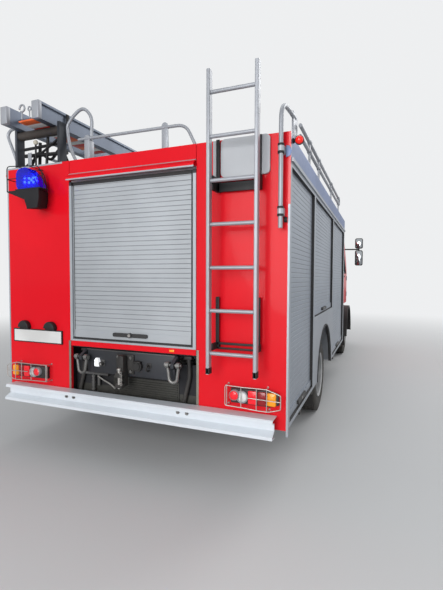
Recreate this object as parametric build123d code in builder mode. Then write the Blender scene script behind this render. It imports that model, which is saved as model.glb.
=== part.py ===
from build123d import *
import os

os.makedirs("parts", exist_ok=True)

# Fire engine with a crew cab, in millimetres: X to the right, Y forward, Z up, ground at Z = 0.
# The origin is under the middle of the whole vehicle.

# Driving lengths along the vehicle
REAR = -3325.0  # rear face of the body
BODY_LENGTH = 4180.0
BODY_FRONT = REAR + BODY_LENGTH
CAB_REAR = BODY_FRONT + 50.0
CAB_FRONT = 3450.0
BUMPER_FRONT = 3490.0
AXLE_REAR_Y = REAR + 1870.0
WHEELBASE = 3630.0
AXLE_FRONT_Y = AXLE_REAR_Y + WHEELBASE

# Driving widths and heights
BODY_HALF = 1250.0
CAB_HALF = 1110.0
SILL_Z = 440.0
POST_Z = 390.0
GUTTER_Z = 2200.0
ROOF_Z = 2390.0
CAB_Z = 940.0
CAB_ROOF_Z = 2450.0

# Wheels and tyres
TYRE_R = 390.0
TYRE_HALF = 107.5
BEAD_R = 222.0
FRONT_TYRE_X = 1065.0
TWIN_OUTER_X = 1092.0
TWIN_SPACING = 250.0
KINGPIN_X = 880.0
SPINDLE_R = 32.0
RUN_GAP = 2.0

# Frame rails
RAIL_OUT = 432.0
RAIL_Z0, RAIL_Z1 = 560.0, 760.0
RAIL_FLANGE = 70.0
RAIL_T = 8.0
RAIL_FRONT = 3330.0
RAIL_REAR = REAR + 110.0

SIDES = (("left", -1), ("right", 1))


def block(x, y, z, mode=Mode.ADD):
    """A box between pairs of limits in the part being built."""
    with Locations(((x[0] + x[1]) / 2, (y[0] + y[1]) / 2, (z[0] + z[1]) / 2)):
        Box(abs(x[1] - x[0]), y[1] - y[0], z[1] - z[0], mode=mode)


def rod(start, end, radius, mode=Mode.ADD):
    """A round bar between two points in the part being built."""
    run = Vector(*end) - Vector(*start)
    with BuildSketch(Plane(origin=start, z_dir=run)) as section:
        Circle(radius)
    extrude(section.sketch, amount=run.length, mode=mode)


def prism(plane, points, amount, mode=Mode.ADD, both=False):
    """A flat outline drawn on a plane and given a thickness in the part being built."""
    with BuildSketch(plane) as outline:
        with BuildLine():
            Polyline(*points, close=True)
        make_face()
    extrude(outline.sketch, amount=amount, mode=mode, both=both)


def bent_tube(points, bend, radius):
    """A round tube along straight runs joined by tangent arcs."""
    with BuildLine() as path:
        FilletPolyline(*points, radius=bend)
    with BuildSketch(Plane(origin=path.line @ 0, z_dir=path.line % 0)) as section:
        Circle(radius)
    sweep(section.sketch, path=path.line)


def rounded_block(x, y, z, axis, radius):
    """A box between pairs of limits whose edges along one axis are rounded."""
    with BuildPart(mode=Mode.PRIVATE) as lump:
        block(x, y, z)
        fillet(lump.edges().filter_by(axis), radius)
    add(lump.part)


def turned(x, y, z, outline):
    """A ring turned about the line along X through (y, z) from (x, radius) points."""
    plane = Plane(origin=(x, y, z), x_dir=(1, 0, 0), z_dir=(0, -1, 0))
    with BuildSketch(plane) as section:
        with BuildLine():
            Polyline(*outline, close=True)
        make_face()
    revolve(section.sketch, axis=Axis((x, y, z), (1, 0, 0)))


def save(part, name):
    """Label a finished piece and write its file."""
    part.label = name
    export_step(part, f"parts/{name}.step")


# Chassis frame

CROSSMEMBER_Y = (RAIL_REAR + 60, AXLE_REAR_Y - 420, AXLE_REAR_Y + 420, 300.0, 3250.0)
CROSSMEMBER_R = 45.0
CAB_PIVOT = {"y": 3220.0, "z": 580.0, "pin_r": 20.0, "gap": 0.5, "arm": (440.0, 470.0)}

with BuildPart() as chassis_frame:
    for name, side in SIDES:
        web = (side * (RAIL_OUT - RAIL_T), side * RAIL_OUT)
        flange = (side * (RAIL_OUT - RAIL_FLANGE), side * RAIL_OUT)
        along = (RAIL_REAR, RAIL_FRONT)
        block(web, along, (RAIL_Z0, RAIL_Z1))
        block(flange, along, (RAIL_Z0, RAIL_Z0 + RAIL_T))
        block(flange, along, (RAIL_Z1 - RAIL_T, RAIL_Z1))
    for y in CROSSMEMBER_Y:
        rod((-RAIL_OUT + RAIL_T, y, 660), (RAIL_OUT - RAIL_T, y, 660), CROSSMEMBER_R)
    for name, side in SIDES:
        rod((side * (RAIL_OUT - 4), CAB_PIVOT["y"], CAB_PIVOT["z"]),
            (side * (CAB_PIVOT["arm"][1] + 5), CAB_PIVOT["y"], CAB_PIVOT["z"]), CAB_PIVOT["pin_r"])
save(chassis_frame.part, "chassis_frame")

# Driveline: engine and gearbox as plain blocks under the cab floor, and the propeller shaft

ENGINE = {"half": 300.0, "y": (1850.0, 2950.0), "z": (480.0, 1080.0)}
GEARBOX = {"half": 170.0, "y": (1150.0, 1850.0), "z": (470.0, 740.0)}
SHAFT_R = 42.0
SHAFT_FRONT = Vector(0, GEARBOX["y"][0], 600)
AXLE_CENTRE = Vector(0, AXLE_REAR_Y, TYRE_R)
SHAFT_RUN = (SHAFT_FRONT - AXLE_CENTRE).normalized()
PINION_END = AXLE_CENTRE + SHAFT_RUN * 330

with BuildPart() as driveline:
    for lump in (ENGINE, GEARBOX):
        block((-lump["half"], lump["half"]), lump["y"], lump["z"])
    block((-RAIL_OUT + RAIL_T, RAIL_OUT - RAIL_T), (2300, 2400), (620, 700))
    rod(PINION_END, SHAFT_FRONT + SHAFT_RUN * 20, SHAFT_R)
save(driveline.part, "driveline")

# Rear axle housing with its banjo and pinion nose, and the spindles for the twin wheels

HOUSING_END = 775.0
HOUSING_R = 62.0

with BuildPart() as rear_axle:
    turned(0, AXLE_REAR_Y, TYRE_R, [
        (-HOUSING_END, 0), (-HOUSING_END, HOUSING_R), (-260, HOUSING_R), (-120, 165), (120, 165),
        (260, HOUSING_R), (HOUSING_END, HOUSING_R), (HOUSING_END, 0)])
    rod(AXLE_CENTRE + SHAFT_RUN * 100, PINION_END, 75)
    for name, side in SIDES:
        rod((side * HOUSING_END, AXLE_REAR_Y, TYRE_R), (side * 1060, AXLE_REAR_Y, TYRE_R), SPINDLE_R)
        block((side * 400, side * 500), (AXLE_REAR_Y - 60, AXLE_REAR_Y + 60), (TYRE_R + 40, TYRE_R + 78))
save(rear_axle.part, "rear_axle")

# Leaf springs: each is a stack of leaves that get shorter downwards, with its two shackle hangers

SPRINGS = (  # axle y, half length, seat z
    {"y": AXLE_REAR_Y, "half": 680.0, "z": TYRE_R + 78.0},
    {"y": AXLE_FRONT_Y, "half": 640.0, "z": 360.0},
)
LEAF_T = 14.0
LEAF_COUNT = 4
SPRING_X = (395.0, 465.0)

with BuildPart() as leaf_springs:
    for spring in SPRINGS:
        for name, side in SIDES:
            across = (side * SPRING_X[0], side * SPRING_X[1])
            for n in range(LEAF_COUNT):
                half = spring["half"] * (1 - 0.2 * (LEAF_COUNT - 1 - n))
                z = spring["z"] + n * LEAF_T
                block(across, (spring["y"] - half, spring["y"] + half), (z, z + LEAF_T))
            top = spring["z"] + LEAF_COUNT * LEAF_T
            for end in (-1, 1):
                y = spring["y"] + end * (spring["half"] - 25)
                block(across, (y - 25, y + 25), (top, RAIL_Z0))
save(leaf_springs.part, "leaf_springs")

# Front axle beam, dropped between its kingpin eyes

EYE_R = 45.0
EYE_Z = (350.0, 430.0)
PIN_R = 20.0

with BuildPart() as front_axle:
    prism(Plane.XZ.offset(-(AXLE_FRONT_Y - 40)), [
        (-KINGPIN_X, EYE_Z[0]), (-700, EYE_Z[0]), (-600, 260), (600, 260), (700, EYE_Z[0]),
        (KINGPIN_X, EYE_Z[0]), (KINGPIN_X, EYE_Z[1]), (720, EYE_Z[1]), (560, 360), (-560, 360),
        (-720, EYE_Z[1]), (-KINGPIN_X, EYE_Z[1])], -80)
    for name, side in SIDES:
        rod((side * KINGPIN_X, AXLE_FRONT_Y, EYE_Z[0]), (side * KINGPIN_X, AXLE_FRONT_Y, EYE_Z[1]), EYE_R)
    for name, side in SIDES:
        rod((side * KINGPIN_X, AXLE_FRONT_Y, 250), (side * KINGPIN_X, AXLE_FRONT_Y, 530), PIN_R)
save(front_axle.part, "front_axle")

# Steering knuckles: a fork on the kingpin, a spindle for the wheel and an arm back to the track rod

PIN_BORE_R = PIN_R + 0.5
FORK = ((268.0, 344.0), (436.0, 512.0))
ARM_Y = AXLE_FRONT_Y - 260.0
ARM_Z = (300.0, 330.0)
SPINDLE_END = 1075.0

for name, side in SIDES:
    with BuildPart() as knuckle:
        for lug in FORK:
            rod((side * KINGPIN_X, AXLE_FRONT_Y, lug[0]), (side * KINGPIN_X, AXLE_FRONT_Y, lug[1]), EYE_R)
            block((side * KINGPIN_X, side * 945), (AXLE_FRONT_Y - 40, AXLE_FRONT_Y + 40), lug)
        block((side * 928, side * 945), (AXLE_FRONT_Y - 70, AXLE_FRONT_Y + 70), (FORK[0][0], FORK[1][1]))
        rod((side * 940, AXLE_FRONT_Y, TYRE_R), (side * SPINDLE_END, AXLE_FRONT_Y, TYRE_R), SPINDLE_R)
        block((side * (KINGPIN_X - 25), side * (KINGPIN_X + 25)), (ARM_Y, AXLE_FRONT_Y - 30), ARM_Z)
        rod((side * KINGPIN_X, ARM_Y, ARM_Z[0]), (side * KINGPIN_X, ARM_Y, ARM_Z[1]), 30)
        rod((side * KINGPIN_X, AXLE_FRONT_Y, 200), (side * KINGPIN_X, AXLE_FRONT_Y, 600), PIN_BORE_R,
            mode=Mode.SUBTRACT)
        rod((side * KINGPIN_X, ARM_Y, 200), (side * KINGPIN_X, ARM_Y, 400), 12.5, mode=Mode.SUBTRACT)
    save(knuckle.part, f"steering_knuckle_{name}")

TRACK_ROD_Z = 275.0

with BuildPart() as track_rod:
    rod((-KINGPIN_X, ARM_Y, TRACK_ROD_Z), (KINGPIN_X, ARM_Y, TRACK_ROD_Z), 17)
    for name, side in SIDES:
        rod((side * KINGPIN_X, ARM_Y, 255), (side * KINGPIN_X, ARM_Y, 294), 26)
        rod((side * KINGPIN_X, ARM_Y, 290), (side * KINGPIN_X, ARM_Y, ARM_Z[1]), 12)
save(track_rod.part, "track_rod")

# Wheels: tyres turned from one outline, rims turned with a pressed disc and hand holes

BEAD_HALF = 86.0
TREAD_HALF = 90.0
TYRE_WIDEST_R = 315.0


def tyre(x, y):
    """A tyre centred at x on the axle line, standing on the ground."""
    turned(x, y, TYRE_R, [
        (-BEAD_HALF, BEAD_R), (-TYRE_HALF, TYRE_WIDEST_R), (-TREAD_HALF, TYRE_R), (TREAD_HALF, TYRE_R),
        (TYRE_HALF, TYRE_WIDEST_R), (BEAD_HALF, BEAD_R)])


RIM_T = 9.0
HUB_R = 88.0
HAND_HOLE_R = 24.0
HAND_HOLES = 8


def rim_barrel(x, y):
    """The rim's barrel, from flange to flange."""
    outer = [(-103, 238), (-95, 238), (-89, BEAD_R), (89, BEAD_R), (95, 238), (103, 238)]
    inner = [(103, 229), (94, BEAD_R - RIM_T), (-94, BEAD_R - RIM_T), (-103, 229)]
    turned(x, y, TYRE_R, outer + inner)


def rim_disc(x, y, side, seat, face):
    """The pressed disc, coned from its seat in the barrel to the flat face on the hub."""
    turned(x, y, TYRE_R, [
        (side * seat, BEAD_R - RIM_T + 1), (side * (seat + 14), BEAD_R - RIM_T + 1),
        (side * (face + 14), 150), (side * (face + 14), SPINDLE_R + RUN_GAP),
        (side * face, SPINDLE_R + RUN_GAP), (side * face, 150)])
    centre = Plane(origin=(x, y, TYRE_R), x_dir=(0, 1, 0), z_dir=(1, 0, 0))
    with BuildSketch(centre) as holes:
        with PolarLocations(182, HAND_HOLES):
            Circle(HAND_HOLE_R)
    extrude(holes.sketch, amount=80, both=True, mode=Mode.SUBTRACT)


def hub(y, side, span, cap):
    """The hub around the spindle, closed by its end cap."""
    turned(0, y, TYRE_R, [
        (side * span[0], SPINDLE_R + RUN_GAP), (side * span[0], HUB_R), (side * span[1], HUB_R),
        (side * cap, 58), (side * cap, 0), (side * (cap - 12), 0), (side * (cap - 12), SPINDLE_R + RUN_GAP)])


for name, side in SIDES:
    x = side * FRONT_TYRE_X
    with BuildPart() as front_tyre:
        tyre(x, AXLE_FRONT_Y)
    save(front_tyre.part, f"front_tyre_{name}")

    with BuildPart() as front_rim:
        rim_disc(x, AXLE_FRONT_Y, side, -20, 30)
        rim_barrel(x, AXLE_FRONT_Y)
        hub(AXLE_FRONT_Y, side, (952, FRONT_TYRE_X + 48), FRONT_TYRE_X + 95)
    save(front_rim.part, f"front_rim_{name}")

    outer_x = side * TWIN_OUTER_X
    inner_x = side * (TWIN_OUTER_X - TWIN_SPACING)
    with BuildPart() as rear_tyres:
        tyre(outer_x, AXLE_REAR_Y)
        tyre(inner_x, AXLE_REAR_Y)
    save(rear_tyres.part, f"rear_tyres_{name}")

    with BuildPart() as rear_rims:
        rim_disc(outer_x, AXLE_REAR_Y, side, -76, -125)
        rim_disc(inner_x, AXLE_REAR_Y, side, 62, 111)
        rim_barrel(outer_x, AXLE_REAR_Y)
        rim_barrel(inner_x, AXLE_REAR_Y)
        hub(AXLE_REAR_Y, side, (HOUSING_END + 5, 1055), 1120)
    save(rear_rims.part, f"rear_rims_{name}")

# Tanks and steps under the cab, behind the front wheels

UNDER_CAB_Y = (CAB_REAR + 40, AXLE_FRONT_Y - 640)

AIR_TANK_R = 110.0
AIR_TANK_X = 640.0

with BuildPart() as chassis_tanks:
    block((-790, -RAIL_OUT), UNDER_CAB_Y, (420, 860))
    fillet(chassis_tanks.edges().filter_by(Axis.Y), 50)
    for z in (550, 780):
        rod((AIR_TANK_X, UNDER_CAB_Y[0], z), (AIR_TANK_X, UNDER_CAB_Y[1], z), AIR_TANK_R)
    for y in (UNDER_CAB_Y[0] + 60, UNDER_CAB_Y[1] - 110):
        block((RAIL_OUT, AIR_TANK_X), (y, y + 50), (RAIL_Z0, RAIL_Z1))
save(chassis_tanks.part, "chassis_tanks")

STEP_TREADS = (450.0, 690.0)
FRONT_STEP_Y = (2740.0, 3140.0)
STEP_X = (800.0, 1080.0)

with BuildPart() as cab_steps:
    for name, side in SIDES:
        for y in (UNDER_CAB_Y, FRONT_STEP_Y):
            for z in STEP_TREADS:
                block((side * STEP_X[0], side * STEP_X[1]), y, (z, z + 30))
            for end in (y[0], y[1] - 12):
                block((side * STEP_X[0], side * STEP_X[1]), (end, end + 12), (450, 880))
            block((side * STEP_X[0], side * (STEP_X[0] + 12)), y, (450, 880))
        block((side * RAIL_OUT, side * STEP_X[0]), (FRONT_STEP_Y[0] + 120, FRONT_STEP_Y[0] + 180), (600, 680))
        for y in ((UNDER_CAB_Y[0] - 25, UNDER_CAB_Y[0]), (UNDER_CAB_Y[1], UNDER_CAB_Y[1] + 25)):
            block((side * RAIL_OUT, side * (STEP_X[0] + 12)), y, (600, 680))
save(cab_steps.part, "cab_steps")

# Front mudguards: half rings over the steered wheels, flared out past the cab

GUARD_R = 520.0
GUARD_T = 12.0
GUARD_X = (770.0, BODY_HALF)
GUARD_Z = 400.0


def half_ring(x, y, z, radius, wall, width):
    """The upper half of a ring about the line along X, from x over width."""
    plane = Plane(origin=(x, y, z), x_dir=(0, 1, 0), z_dir=(1, 0, 0))
    with BuildSketch(plane) as section:
        with BuildLine():
            CenterArc((0, 0), radius + wall, 0, 180)
            Line((-radius - wall, 0), (-radius, 0))
            CenterArc((0, 0), radius, 0, 180)
            Line((radius, 0), (radius + wall, 0))
        make_face()
    extrude(section.sketch, amount=width)


with BuildPart() as front_mudguards:
    for name, side in SIDES:
        start = GUARD_X[0] if side > 0 else -GUARD_X[1]
        half_ring(start, AXLE_FRONT_Y, GUARD_Z, GUARD_R, GUARD_T, GUARD_X[1] - GUARD_X[0])
        lip = GUARD_X[1] - 22 if side > 0 else -GUARD_X[1]
        half_ring(lip, AXLE_FRONT_Y, GUARD_Z, GUARD_R - 14, 16, 22)
        block((side * RAIL_OUT, side * 790), (AXLE_FRONT_Y + 525, AXLE_FRONT_Y + 560), (600, 680))
        block((side * RAIL_OUT, side * 790), (AXLE_FRONT_Y - 560, AXLE_FRONT_Y - 525), (600, 680))
        block((side * 770, side * 790), (AXLE_FRONT_Y - 560, AXLE_FRONT_Y - 500), (540, 680))
        block((side * 770, side * 790), (AXLE_FRONT_Y + 500, AXLE_FRONT_Y + 560), (540, 680))
save(front_mudguards.part, "front_mudguards")

# Front bumper with its wrapped ends, and the headlamps set in it

BUMPER_Z = (420.0, 800.0)
BUMPER_T = 70.0
WRAP_Y = 3160.0
HEADLAMP = {"x": (700.0, 980.0), "z": (600.0, 760.0), "depth": 60.0, "lenses": (770.0, 910.0), "lens_r": 62.0}

with BuildPart() as front_bumper:
    with BuildSketch(Plane.XY.offset(BUMPER_Z[0])) as plan:
        with BuildLine():
            FilletPolyline((-CAB_HALF, WRAP_Y), (-CAB_HALF, BUMPER_FRONT), (CAB_HALF, BUMPER_FRONT),
                           (CAB_HALF, WRAP_Y), radius=110)
            Polyline((CAB_HALF, WRAP_Y), (CAB_HALF - BUMPER_T, WRAP_Y),
                     (CAB_HALF - BUMPER_T, BUMPER_FRONT - BUMPER_T - 60),
                     (CAB_HALF - BUMPER_T - 60, BUMPER_FRONT - BUMPER_T),
                     (-CAB_HALF + BUMPER_T + 60, BUMPER_FRONT - BUMPER_T),
                     (-CAB_HALF + BUMPER_T, BUMPER_FRONT - BUMPER_T - 60),
                     (-CAB_HALF + BUMPER_T, WRAP_Y), (-CAB_HALF, WRAP_Y))
        make_face()
    extrude(plan.sketch, amount=BUMPER_Z[1] - BUMPER_Z[0])
    for name, side in SIDES:
        lamp_x = (side * HEADLAMP["x"][0], side * HEADLAMP["x"][1])
        block(lamp_x, (BUMPER_FRONT - HEADLAMP["depth"], BUMPER_FRONT + 5), HEADLAMP["z"], mode=Mode.SUBTRACT)
        block((side * 360, side * RAIL_OUT), (RAIL_FRONT, BUMPER_FRONT - BUMPER_T), (600, 740))
    block((-560, 560), (BUMPER_FRONT - 25, BUMPER_FRONT + 5), (560, 700), mode=Mode.SUBTRACT)
save(front_bumper.part, "front_bumper")

with BuildPart() as headlamps:
    for name, side in SIDES:
        lamp_x = (side * HEADLAMP["x"][0], side * HEADLAMP["x"][1])
        block(lamp_x, (BUMPER_FRONT - HEADLAMP["depth"], BUMPER_FRONT - 24), HEADLAMP["z"])
        for x in HEADLAMP["lenses"]:
            z = sum(HEADLAMP["z"]) / 2
            rod((side * x, BUMPER_FRONT - 24, z), (side * x, BUMPER_FRONT - 6, z), HEADLAMP["lens_r"])
save(headlamps.part, "headlamps")

# Body: floor pans of the side lockers, wheel boxes and the deck over the frame

LOCKER_IN = 640.0
WALL_T = 20.0
FLOOR_T = 30.0
DECK_Z = (RAIL_Z1, 800.0)
ARCH_R = 560.0
ARCH_Y = (AXLE_REAR_Y - 620.0, AXLE_REAR_Y + 620.0)
ARCH_TOP_Z = 1000.0
FACE_T = 25.0
SHELL_Y = (REAR + FACE_T, BODY_FRONT - 30.0)
POST_T = 25.0
SHUTTER_X = BODY_HALF - POST_T
CURTAIN_T = 12.0
PANEL_EDGE = BODY_HALF - 14.0
RECESS_X = 600.0
RECESS_DEPTH = 420.0
DOOR_BAYS = (  # first y, last y and lower edge of each side shutter's opening
    {"y0": REAR + 50, "y1": REAR + 1030, "z": SILL_Z + 30},
    {"y0": REAR + 1100, "y1": REAR + 2530, "z": 1090.0},
    {"y0": REAR + 2610, "y1": REAR + 4080, "z": SILL_Z + 30},
)

with BuildPart() as body_floor:
    block((-LOCKER_IN, LOCKER_IN), (REAR + RECESS_DEPTH, SHELL_Y[1]), DECK_Z)
    for name, side in SIDES:
        low = (side * LOCKER_IN, side * SHUTTER_X)
        for y in ((SHELL_Y[0], ARCH_Y[0]), (ARCH_Y[1], SHELL_Y[1])):
            block(low, y, (SILL_Z, SILL_Z + FLOOR_T))
            block((side * (LOCKER_IN - WALL_T), side * LOCKER_IN), y, (SILL_Z, DECK_Z[1]))
        for y in (ARCH_Y[0], ARCH_Y[1] - WALL_T):
            block((side * (LOCKER_IN - WALL_T), side * SHUTTER_X), (y, y + WALL_T), (SILL_Z, ARCH_TOP_Z))
        block(low, ARCH_Y, (ARCH_TOP_Z, ARCH_TOP_Z + WALL_T))
        block((side * (LOCKER_IN - WALL_T), side * LOCKER_IN), ARCH_Y, (DECK_Z[0], ARCH_TOP_Z + WALL_T))
save(body_floor.part, "body_floor")

# Inner walls: one along each side of the tank room, partitions between the lockers, and the front wall

WALL_TOP = ROOF_Z - 40.0
STRIP_Z = 885.0
PORTAL_Y = (REAR + FACE_T, REAR + FACE_T + 40)
PORTAL_OPEN = {"x": (-525.0, 540.0), "z": (940.0, 2200.0)}

with BuildPart() as body_walls:
    for name, side in SIDES:
        wall = (side * (LOCKER_IN - WALL_T), side * LOCKER_IN)
        block(wall, SHELL_Y, (DECK_Z[1], WALL_TOP))
        block(wall, ARCH_Y, (DECK_Z[1], ARCH_TOP_Z + WALL_T), mode=Mode.SUBTRACT)
        bays = (side * LOCKER_IN, side * (SHUTTER_X - CURTAIN_T))
        for bay, beyond in zip(DOOR_BAYS[:-1], DOOR_BAYS[1:]):
            y = (bay["y1"] + beyond["y0"]) / 2
            block(bays, (y - WALL_T / 2, y + WALL_T / 2), (ARCH_TOP_Z + WALL_T, WALL_TOP))
    across = BODY_HALF - POST_T
    block((-across, across), (BODY_FRONT - 30, BODY_FRONT), (DECK_Z[0], WALL_TOP))
    for name, side in SIDES:
        block((side * LOCKER_IN, side * across), (BODY_FRONT - 30, BODY_FRONT), (SILL_Z, DECK_Z[0]))
    block((-LOCKER_IN, LOCKER_IN), PORTAL_Y, (STRIP_Z, WALL_TOP))
    block(PORTAL_OPEN["x"], (PORTAL_Y[0] - 5, PORTAL_Y[1] + 5), PORTAL_OPEN["z"], mode=Mode.SUBTRACT)
save(body_walls.part, "body_walls")

# Side posts, sills and gutters, one welded frame on each side

GUTTER_LIP = 12.0
ARCH_LIP = {"wall": 14.0, "proud": 8.0}

with BuildPart() as side_frames:
    for name, side in SIDES:
        outer = (side * (BODY_HALF - POST_T), side * BODY_HALF)
        edges = [REAR + FACE_T]
        for bay in DOOR_BAYS:
            edges += [bay["y0"], bay["y1"]]
        edges += [BODY_FRONT]
        for y0, y1 in zip(edges[0::2], edges[1::2]):
            block(outer, (y0, y1), (SILL_Z, GUTTER_Z))
        for bay in DOOR_BAYS:
            block(outer, (bay["y0"], bay["y1"]), (SILL_Z, bay["z"]))
        block(outer, (REAR + FACE_T, BODY_FRONT), (GUTTER_Z - 25, GUTTER_Z + 35))
        block((side * BODY_HALF, side * (BODY_HALF + GUTTER_LIP)), (REAR + FACE_T, BODY_FRONT),
              (GUTTER_Z + 5, GUTTER_Z + 30))
        rod((0, AXLE_REAR_Y, TYRE_R), (side * 1300, AXLE_REAR_Y, TYRE_R), ARCH_R, mode=Mode.SUBTRACT)
        lip_start = BODY_HALF - POST_T if side > 0 else -BODY_HALF - ARCH_LIP["proud"]
        half_ring(lip_start, AXLE_REAR_Y, TYRE_R, ARCH_R - ARCH_LIP["wall"], ARCH_LIP["wall"],
                  POST_T + ARCH_LIP["proud"])
        block((side * (BODY_HALF - POST_T - 5), side * (BODY_HALF + 30)), ARCH_Y, (TYRE_R - 5, SILL_Z),
              mode=Mode.SUBTRACT)
        block((side * PANEL_EDGE, side * BODY_HALF), (REAR, REAR + FACE_T), (POST_Z, ROOF_Z))
save(side_frames.part, "side_frames")

# Roller shutters: curtains of slats standing in their openings, each with its lift bar and handle

SLAT = {"pitch": 35.0, "crown": 0.8, "depth": 2.5, "flank": 4.5, "throat": 1.8}
LIFT_BAR = 60.0
LAP = 15.0
HANDLE = {"half": 155.0, "z": (24.0, 54.0), "proud": 16.0, "lock_r": 19.0}


def slatted(back, face, low, high):
    """A curtain's section from its back to its face: crowned slats with a throat between each two."""
    out = 1 if face > back else -1
    slats = round((high - low) / SLAT["pitch"])
    pitch = (high - low) / slats
    points = [(back, low), (face, low)]
    for n in range(1, slats):
        z = low + n * pitch
        points += [(face, z - SLAT["flank"]), (face - out * SLAT["crown"], z - SLAT["throat"]),
                   (face - out * SLAT["depth"], z), (face - out * SLAT["crown"], z + SLAT["throat"]),
                   (face, z + SLAT["flank"])]
    return points + [(face, high), (back, high)]


with BuildPart() as side_shutters:
    for name, side in SIDES:
        for bay in DOOR_BAYS:
            back, face = side * (SHUTTER_X - CURTAIN_T), side * SHUTTER_X
            low, high = bay["z"] + LIFT_BAR, GUTTER_Z - 25 + LAP
            prism(Plane.XZ.offset(-(bay["y1"] + LAP)), slatted(back, face, low, high),
                  bay["y1"] - bay["y0"] + 2 * LAP)
            block((back, face), (bay["y0"] - LAP, bay["y1"] + LAP), (bay["z"], low))
            block((face, face + side * 8), (bay["y0"] + 2, bay["y1"] - 2), (bay["z"], low))
            middle = (bay["y0"] + bay["y1"]) / 2
            rounded_block((face + side * 8, face + side * (8 + HANDLE["proud"])),
                          (middle - HANDLE["half"], middle + HANDLE["half"]),
                          (bay["z"] + HANDLE["z"][0], bay["z"] + HANDLE["z"][1]), Axis.X, 12)
save(side_shutters.part, "side_shutters")

# Roof: deck, rounded fascias along the sides and the rear header

ROOF_T = 40.0
MAST = {"x": 0.0, "y": BODY_FRONT - 400.0, "z0": 830.0, "top": 2430.0}
STAGE_R = (70.0, 58.0, 46.0)
COLLAR_GAP = 0.8
STAGE_WALL = 6.0

with BuildPart() as body_roof:
    block((-BODY_HALF, BODY_HALF), (REAR + FACE_T, BODY_FRONT), (ROOF_Z - ROOF_T, ROOF_Z))
    for name, side in SIDES:
        block((side * (BODY_HALF - POST_T), side * BODY_HALF), (REAR + FACE_T, BODY_FRONT),
              (GUTTER_Z + 35, ROOF_Z - ROOF_T))
    fillet(body_roof.edges().filter_by(Axis.Y).group_by(Axis.Z)[-1], 18)
    rod((MAST["x"], MAST["y"], ROOF_Z - ROOF_T - 5), (MAST["x"], MAST["y"], ROOF_Z + 5), STAGE_R[0],
        mode=Mode.SUBTRACT)
save(body_roof.part, "body_roof")

# Rear face: red panels beside, above and below the rear shutter

REAR_OPEN = {"x": (-561.0, 578.0), "z": (928.0, 2215.0)}
SEAM = 2.0
HEADER_Z = 2240.0

with BuildPart() as rear_panels:
    face = (REAR, REAR + FACE_T)
    block((-PANEL_EDGE, REAR_OPEN["x"][0] - SEAM), face, (430, ROOF_Z))
    block((REAR_OPEN["x"][1] + SEAM, PANEL_EDGE), face, (430, ROOF_Z))
    block((REAR_OPEN["x"][0] + SEAM, REAR_OPEN["x"][1] - SEAM), face, (HEADER_Z, ROOF_Z))
    block((REAR_OPEN["x"][0] + SEAM, REAR_OPEN["x"][1] - SEAM), face, (STRIP_Z, REAR_OPEN["z"][0] - SEAM))
    prism(Plane.YZ.offset(REAR_OPEN["x"][0] + SEAM), [
        (REAR, HEADER_Z + 45), (REAR - 45, HEADER_Z + 8), (REAR - 45, HEADER_Z - 18),
        (REAR - 38, HEADER_Z - 18), (REAR - 38, HEADER_Z + 4), (REAR, HEADER_Z + 35)],
        REAR_OPEN["x"][1] - REAR_OPEN["x"][0] - 2 * SEAM)
save(rear_panels.part, "rear_panels")

# Rear shutter: a proud frame, a recessed seal inside it, the curtain and its lift bar with the handle

FRAME_BAR = 24.0
FRAME_SILL = 14.0
SEAL_BAR = 18.0
CURTAIN_Y = (REAR + 18.0, REAR + 6.0)
REAR_HANDLE_X = 18.0

with BuildPart() as rear_shutter:
    x0, x1 = REAR_OPEN["x"]
    z0, z1 = REAR_OPEN["z"]
    inside = (x0 + FRAME_BAR, x1 - FRAME_BAR)
    block((x0, x1), (REAR - 6, REAR + FACE_T), (z0, z1))
    block(inside, (REAR - 10, REAR + FACE_T + 5), (z0 + FRAME_SILL, z1 + 10), mode=Mode.SUBTRACT)
    block(inside, (REAR + 10, REAR + FACE_T), (z0 + FRAME_SILL, z1))
    curtain = (inside[0] + SEAL_BAR, inside[1] - SEAL_BAR)
    low = z0 + FRAME_SILL + SEAL_BAR
    prism(Plane.YZ.offset(curtain[0]), slatted(*CURTAIN_Y, low + LIFT_BAR, z1), curtain[1] - curtain[0])
    block(curtain, (CURTAIN_Y[1] - 4, CURTAIN_Y[0]), (low, low + LIFT_BAR))
    lift_face = CURTAIN_Y[1] - 4
    rounded_block((REAR_HANDLE_X - HANDLE["half"], REAR_HANDLE_X + HANDLE["half"]),
                  (lift_face - HANDLE["proud"], lift_face),
                  (low + HANDLE["z"][0], low + HANDLE["z"][1]), Axis.Y, 12)
    lock_z = low + sum(HANDLE["z"]) / 2
    rod((REAR_HANDLE_X, lift_face, lock_z), (REAR_HANDLE_X, lift_face - HANDLE["proud"] - 5, lock_z),
        HANDLE["lock_r"])
save(rear_shutter.part, "rear_shutter")

# Open recess under the rear shutter: its side cheeks, back plate and tow gear

with BuildPart() as tow_recess:
    for x0, x1 in ((-LOCKER_IN + WALL_T, -585.0), (590.0, LOCKER_IN - WALL_T)):
        block((x0, x1), (REAR + FACE_T, REAR + RECESS_DEPTH), (POST_Z, STRIP_Z))
    block((-585, 590), (REAR + FACE_T, REAR + RECESS_DEPTH), (STRIP_Z - 12, STRIP_Z))
    block((-585, 590), (REAR + 90, REAR + 110), (560, 790))
    for side in (-1, 1):
        block((side * RAIL_OUT, side * 590 if side > 0 else -585), (REAR + 90, REAR + 250), (600, 720))
save(tow_recess.part, "tow_recess")

HITCH = {"x": -30.0, "z": 665.0, "pin_r": 19.0}
SHACKLE_X = (-455.0, 455.0)
SHACKLE = {"z": 770.0, "bow_r": 48.0, "bar_r": 13.0}

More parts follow.
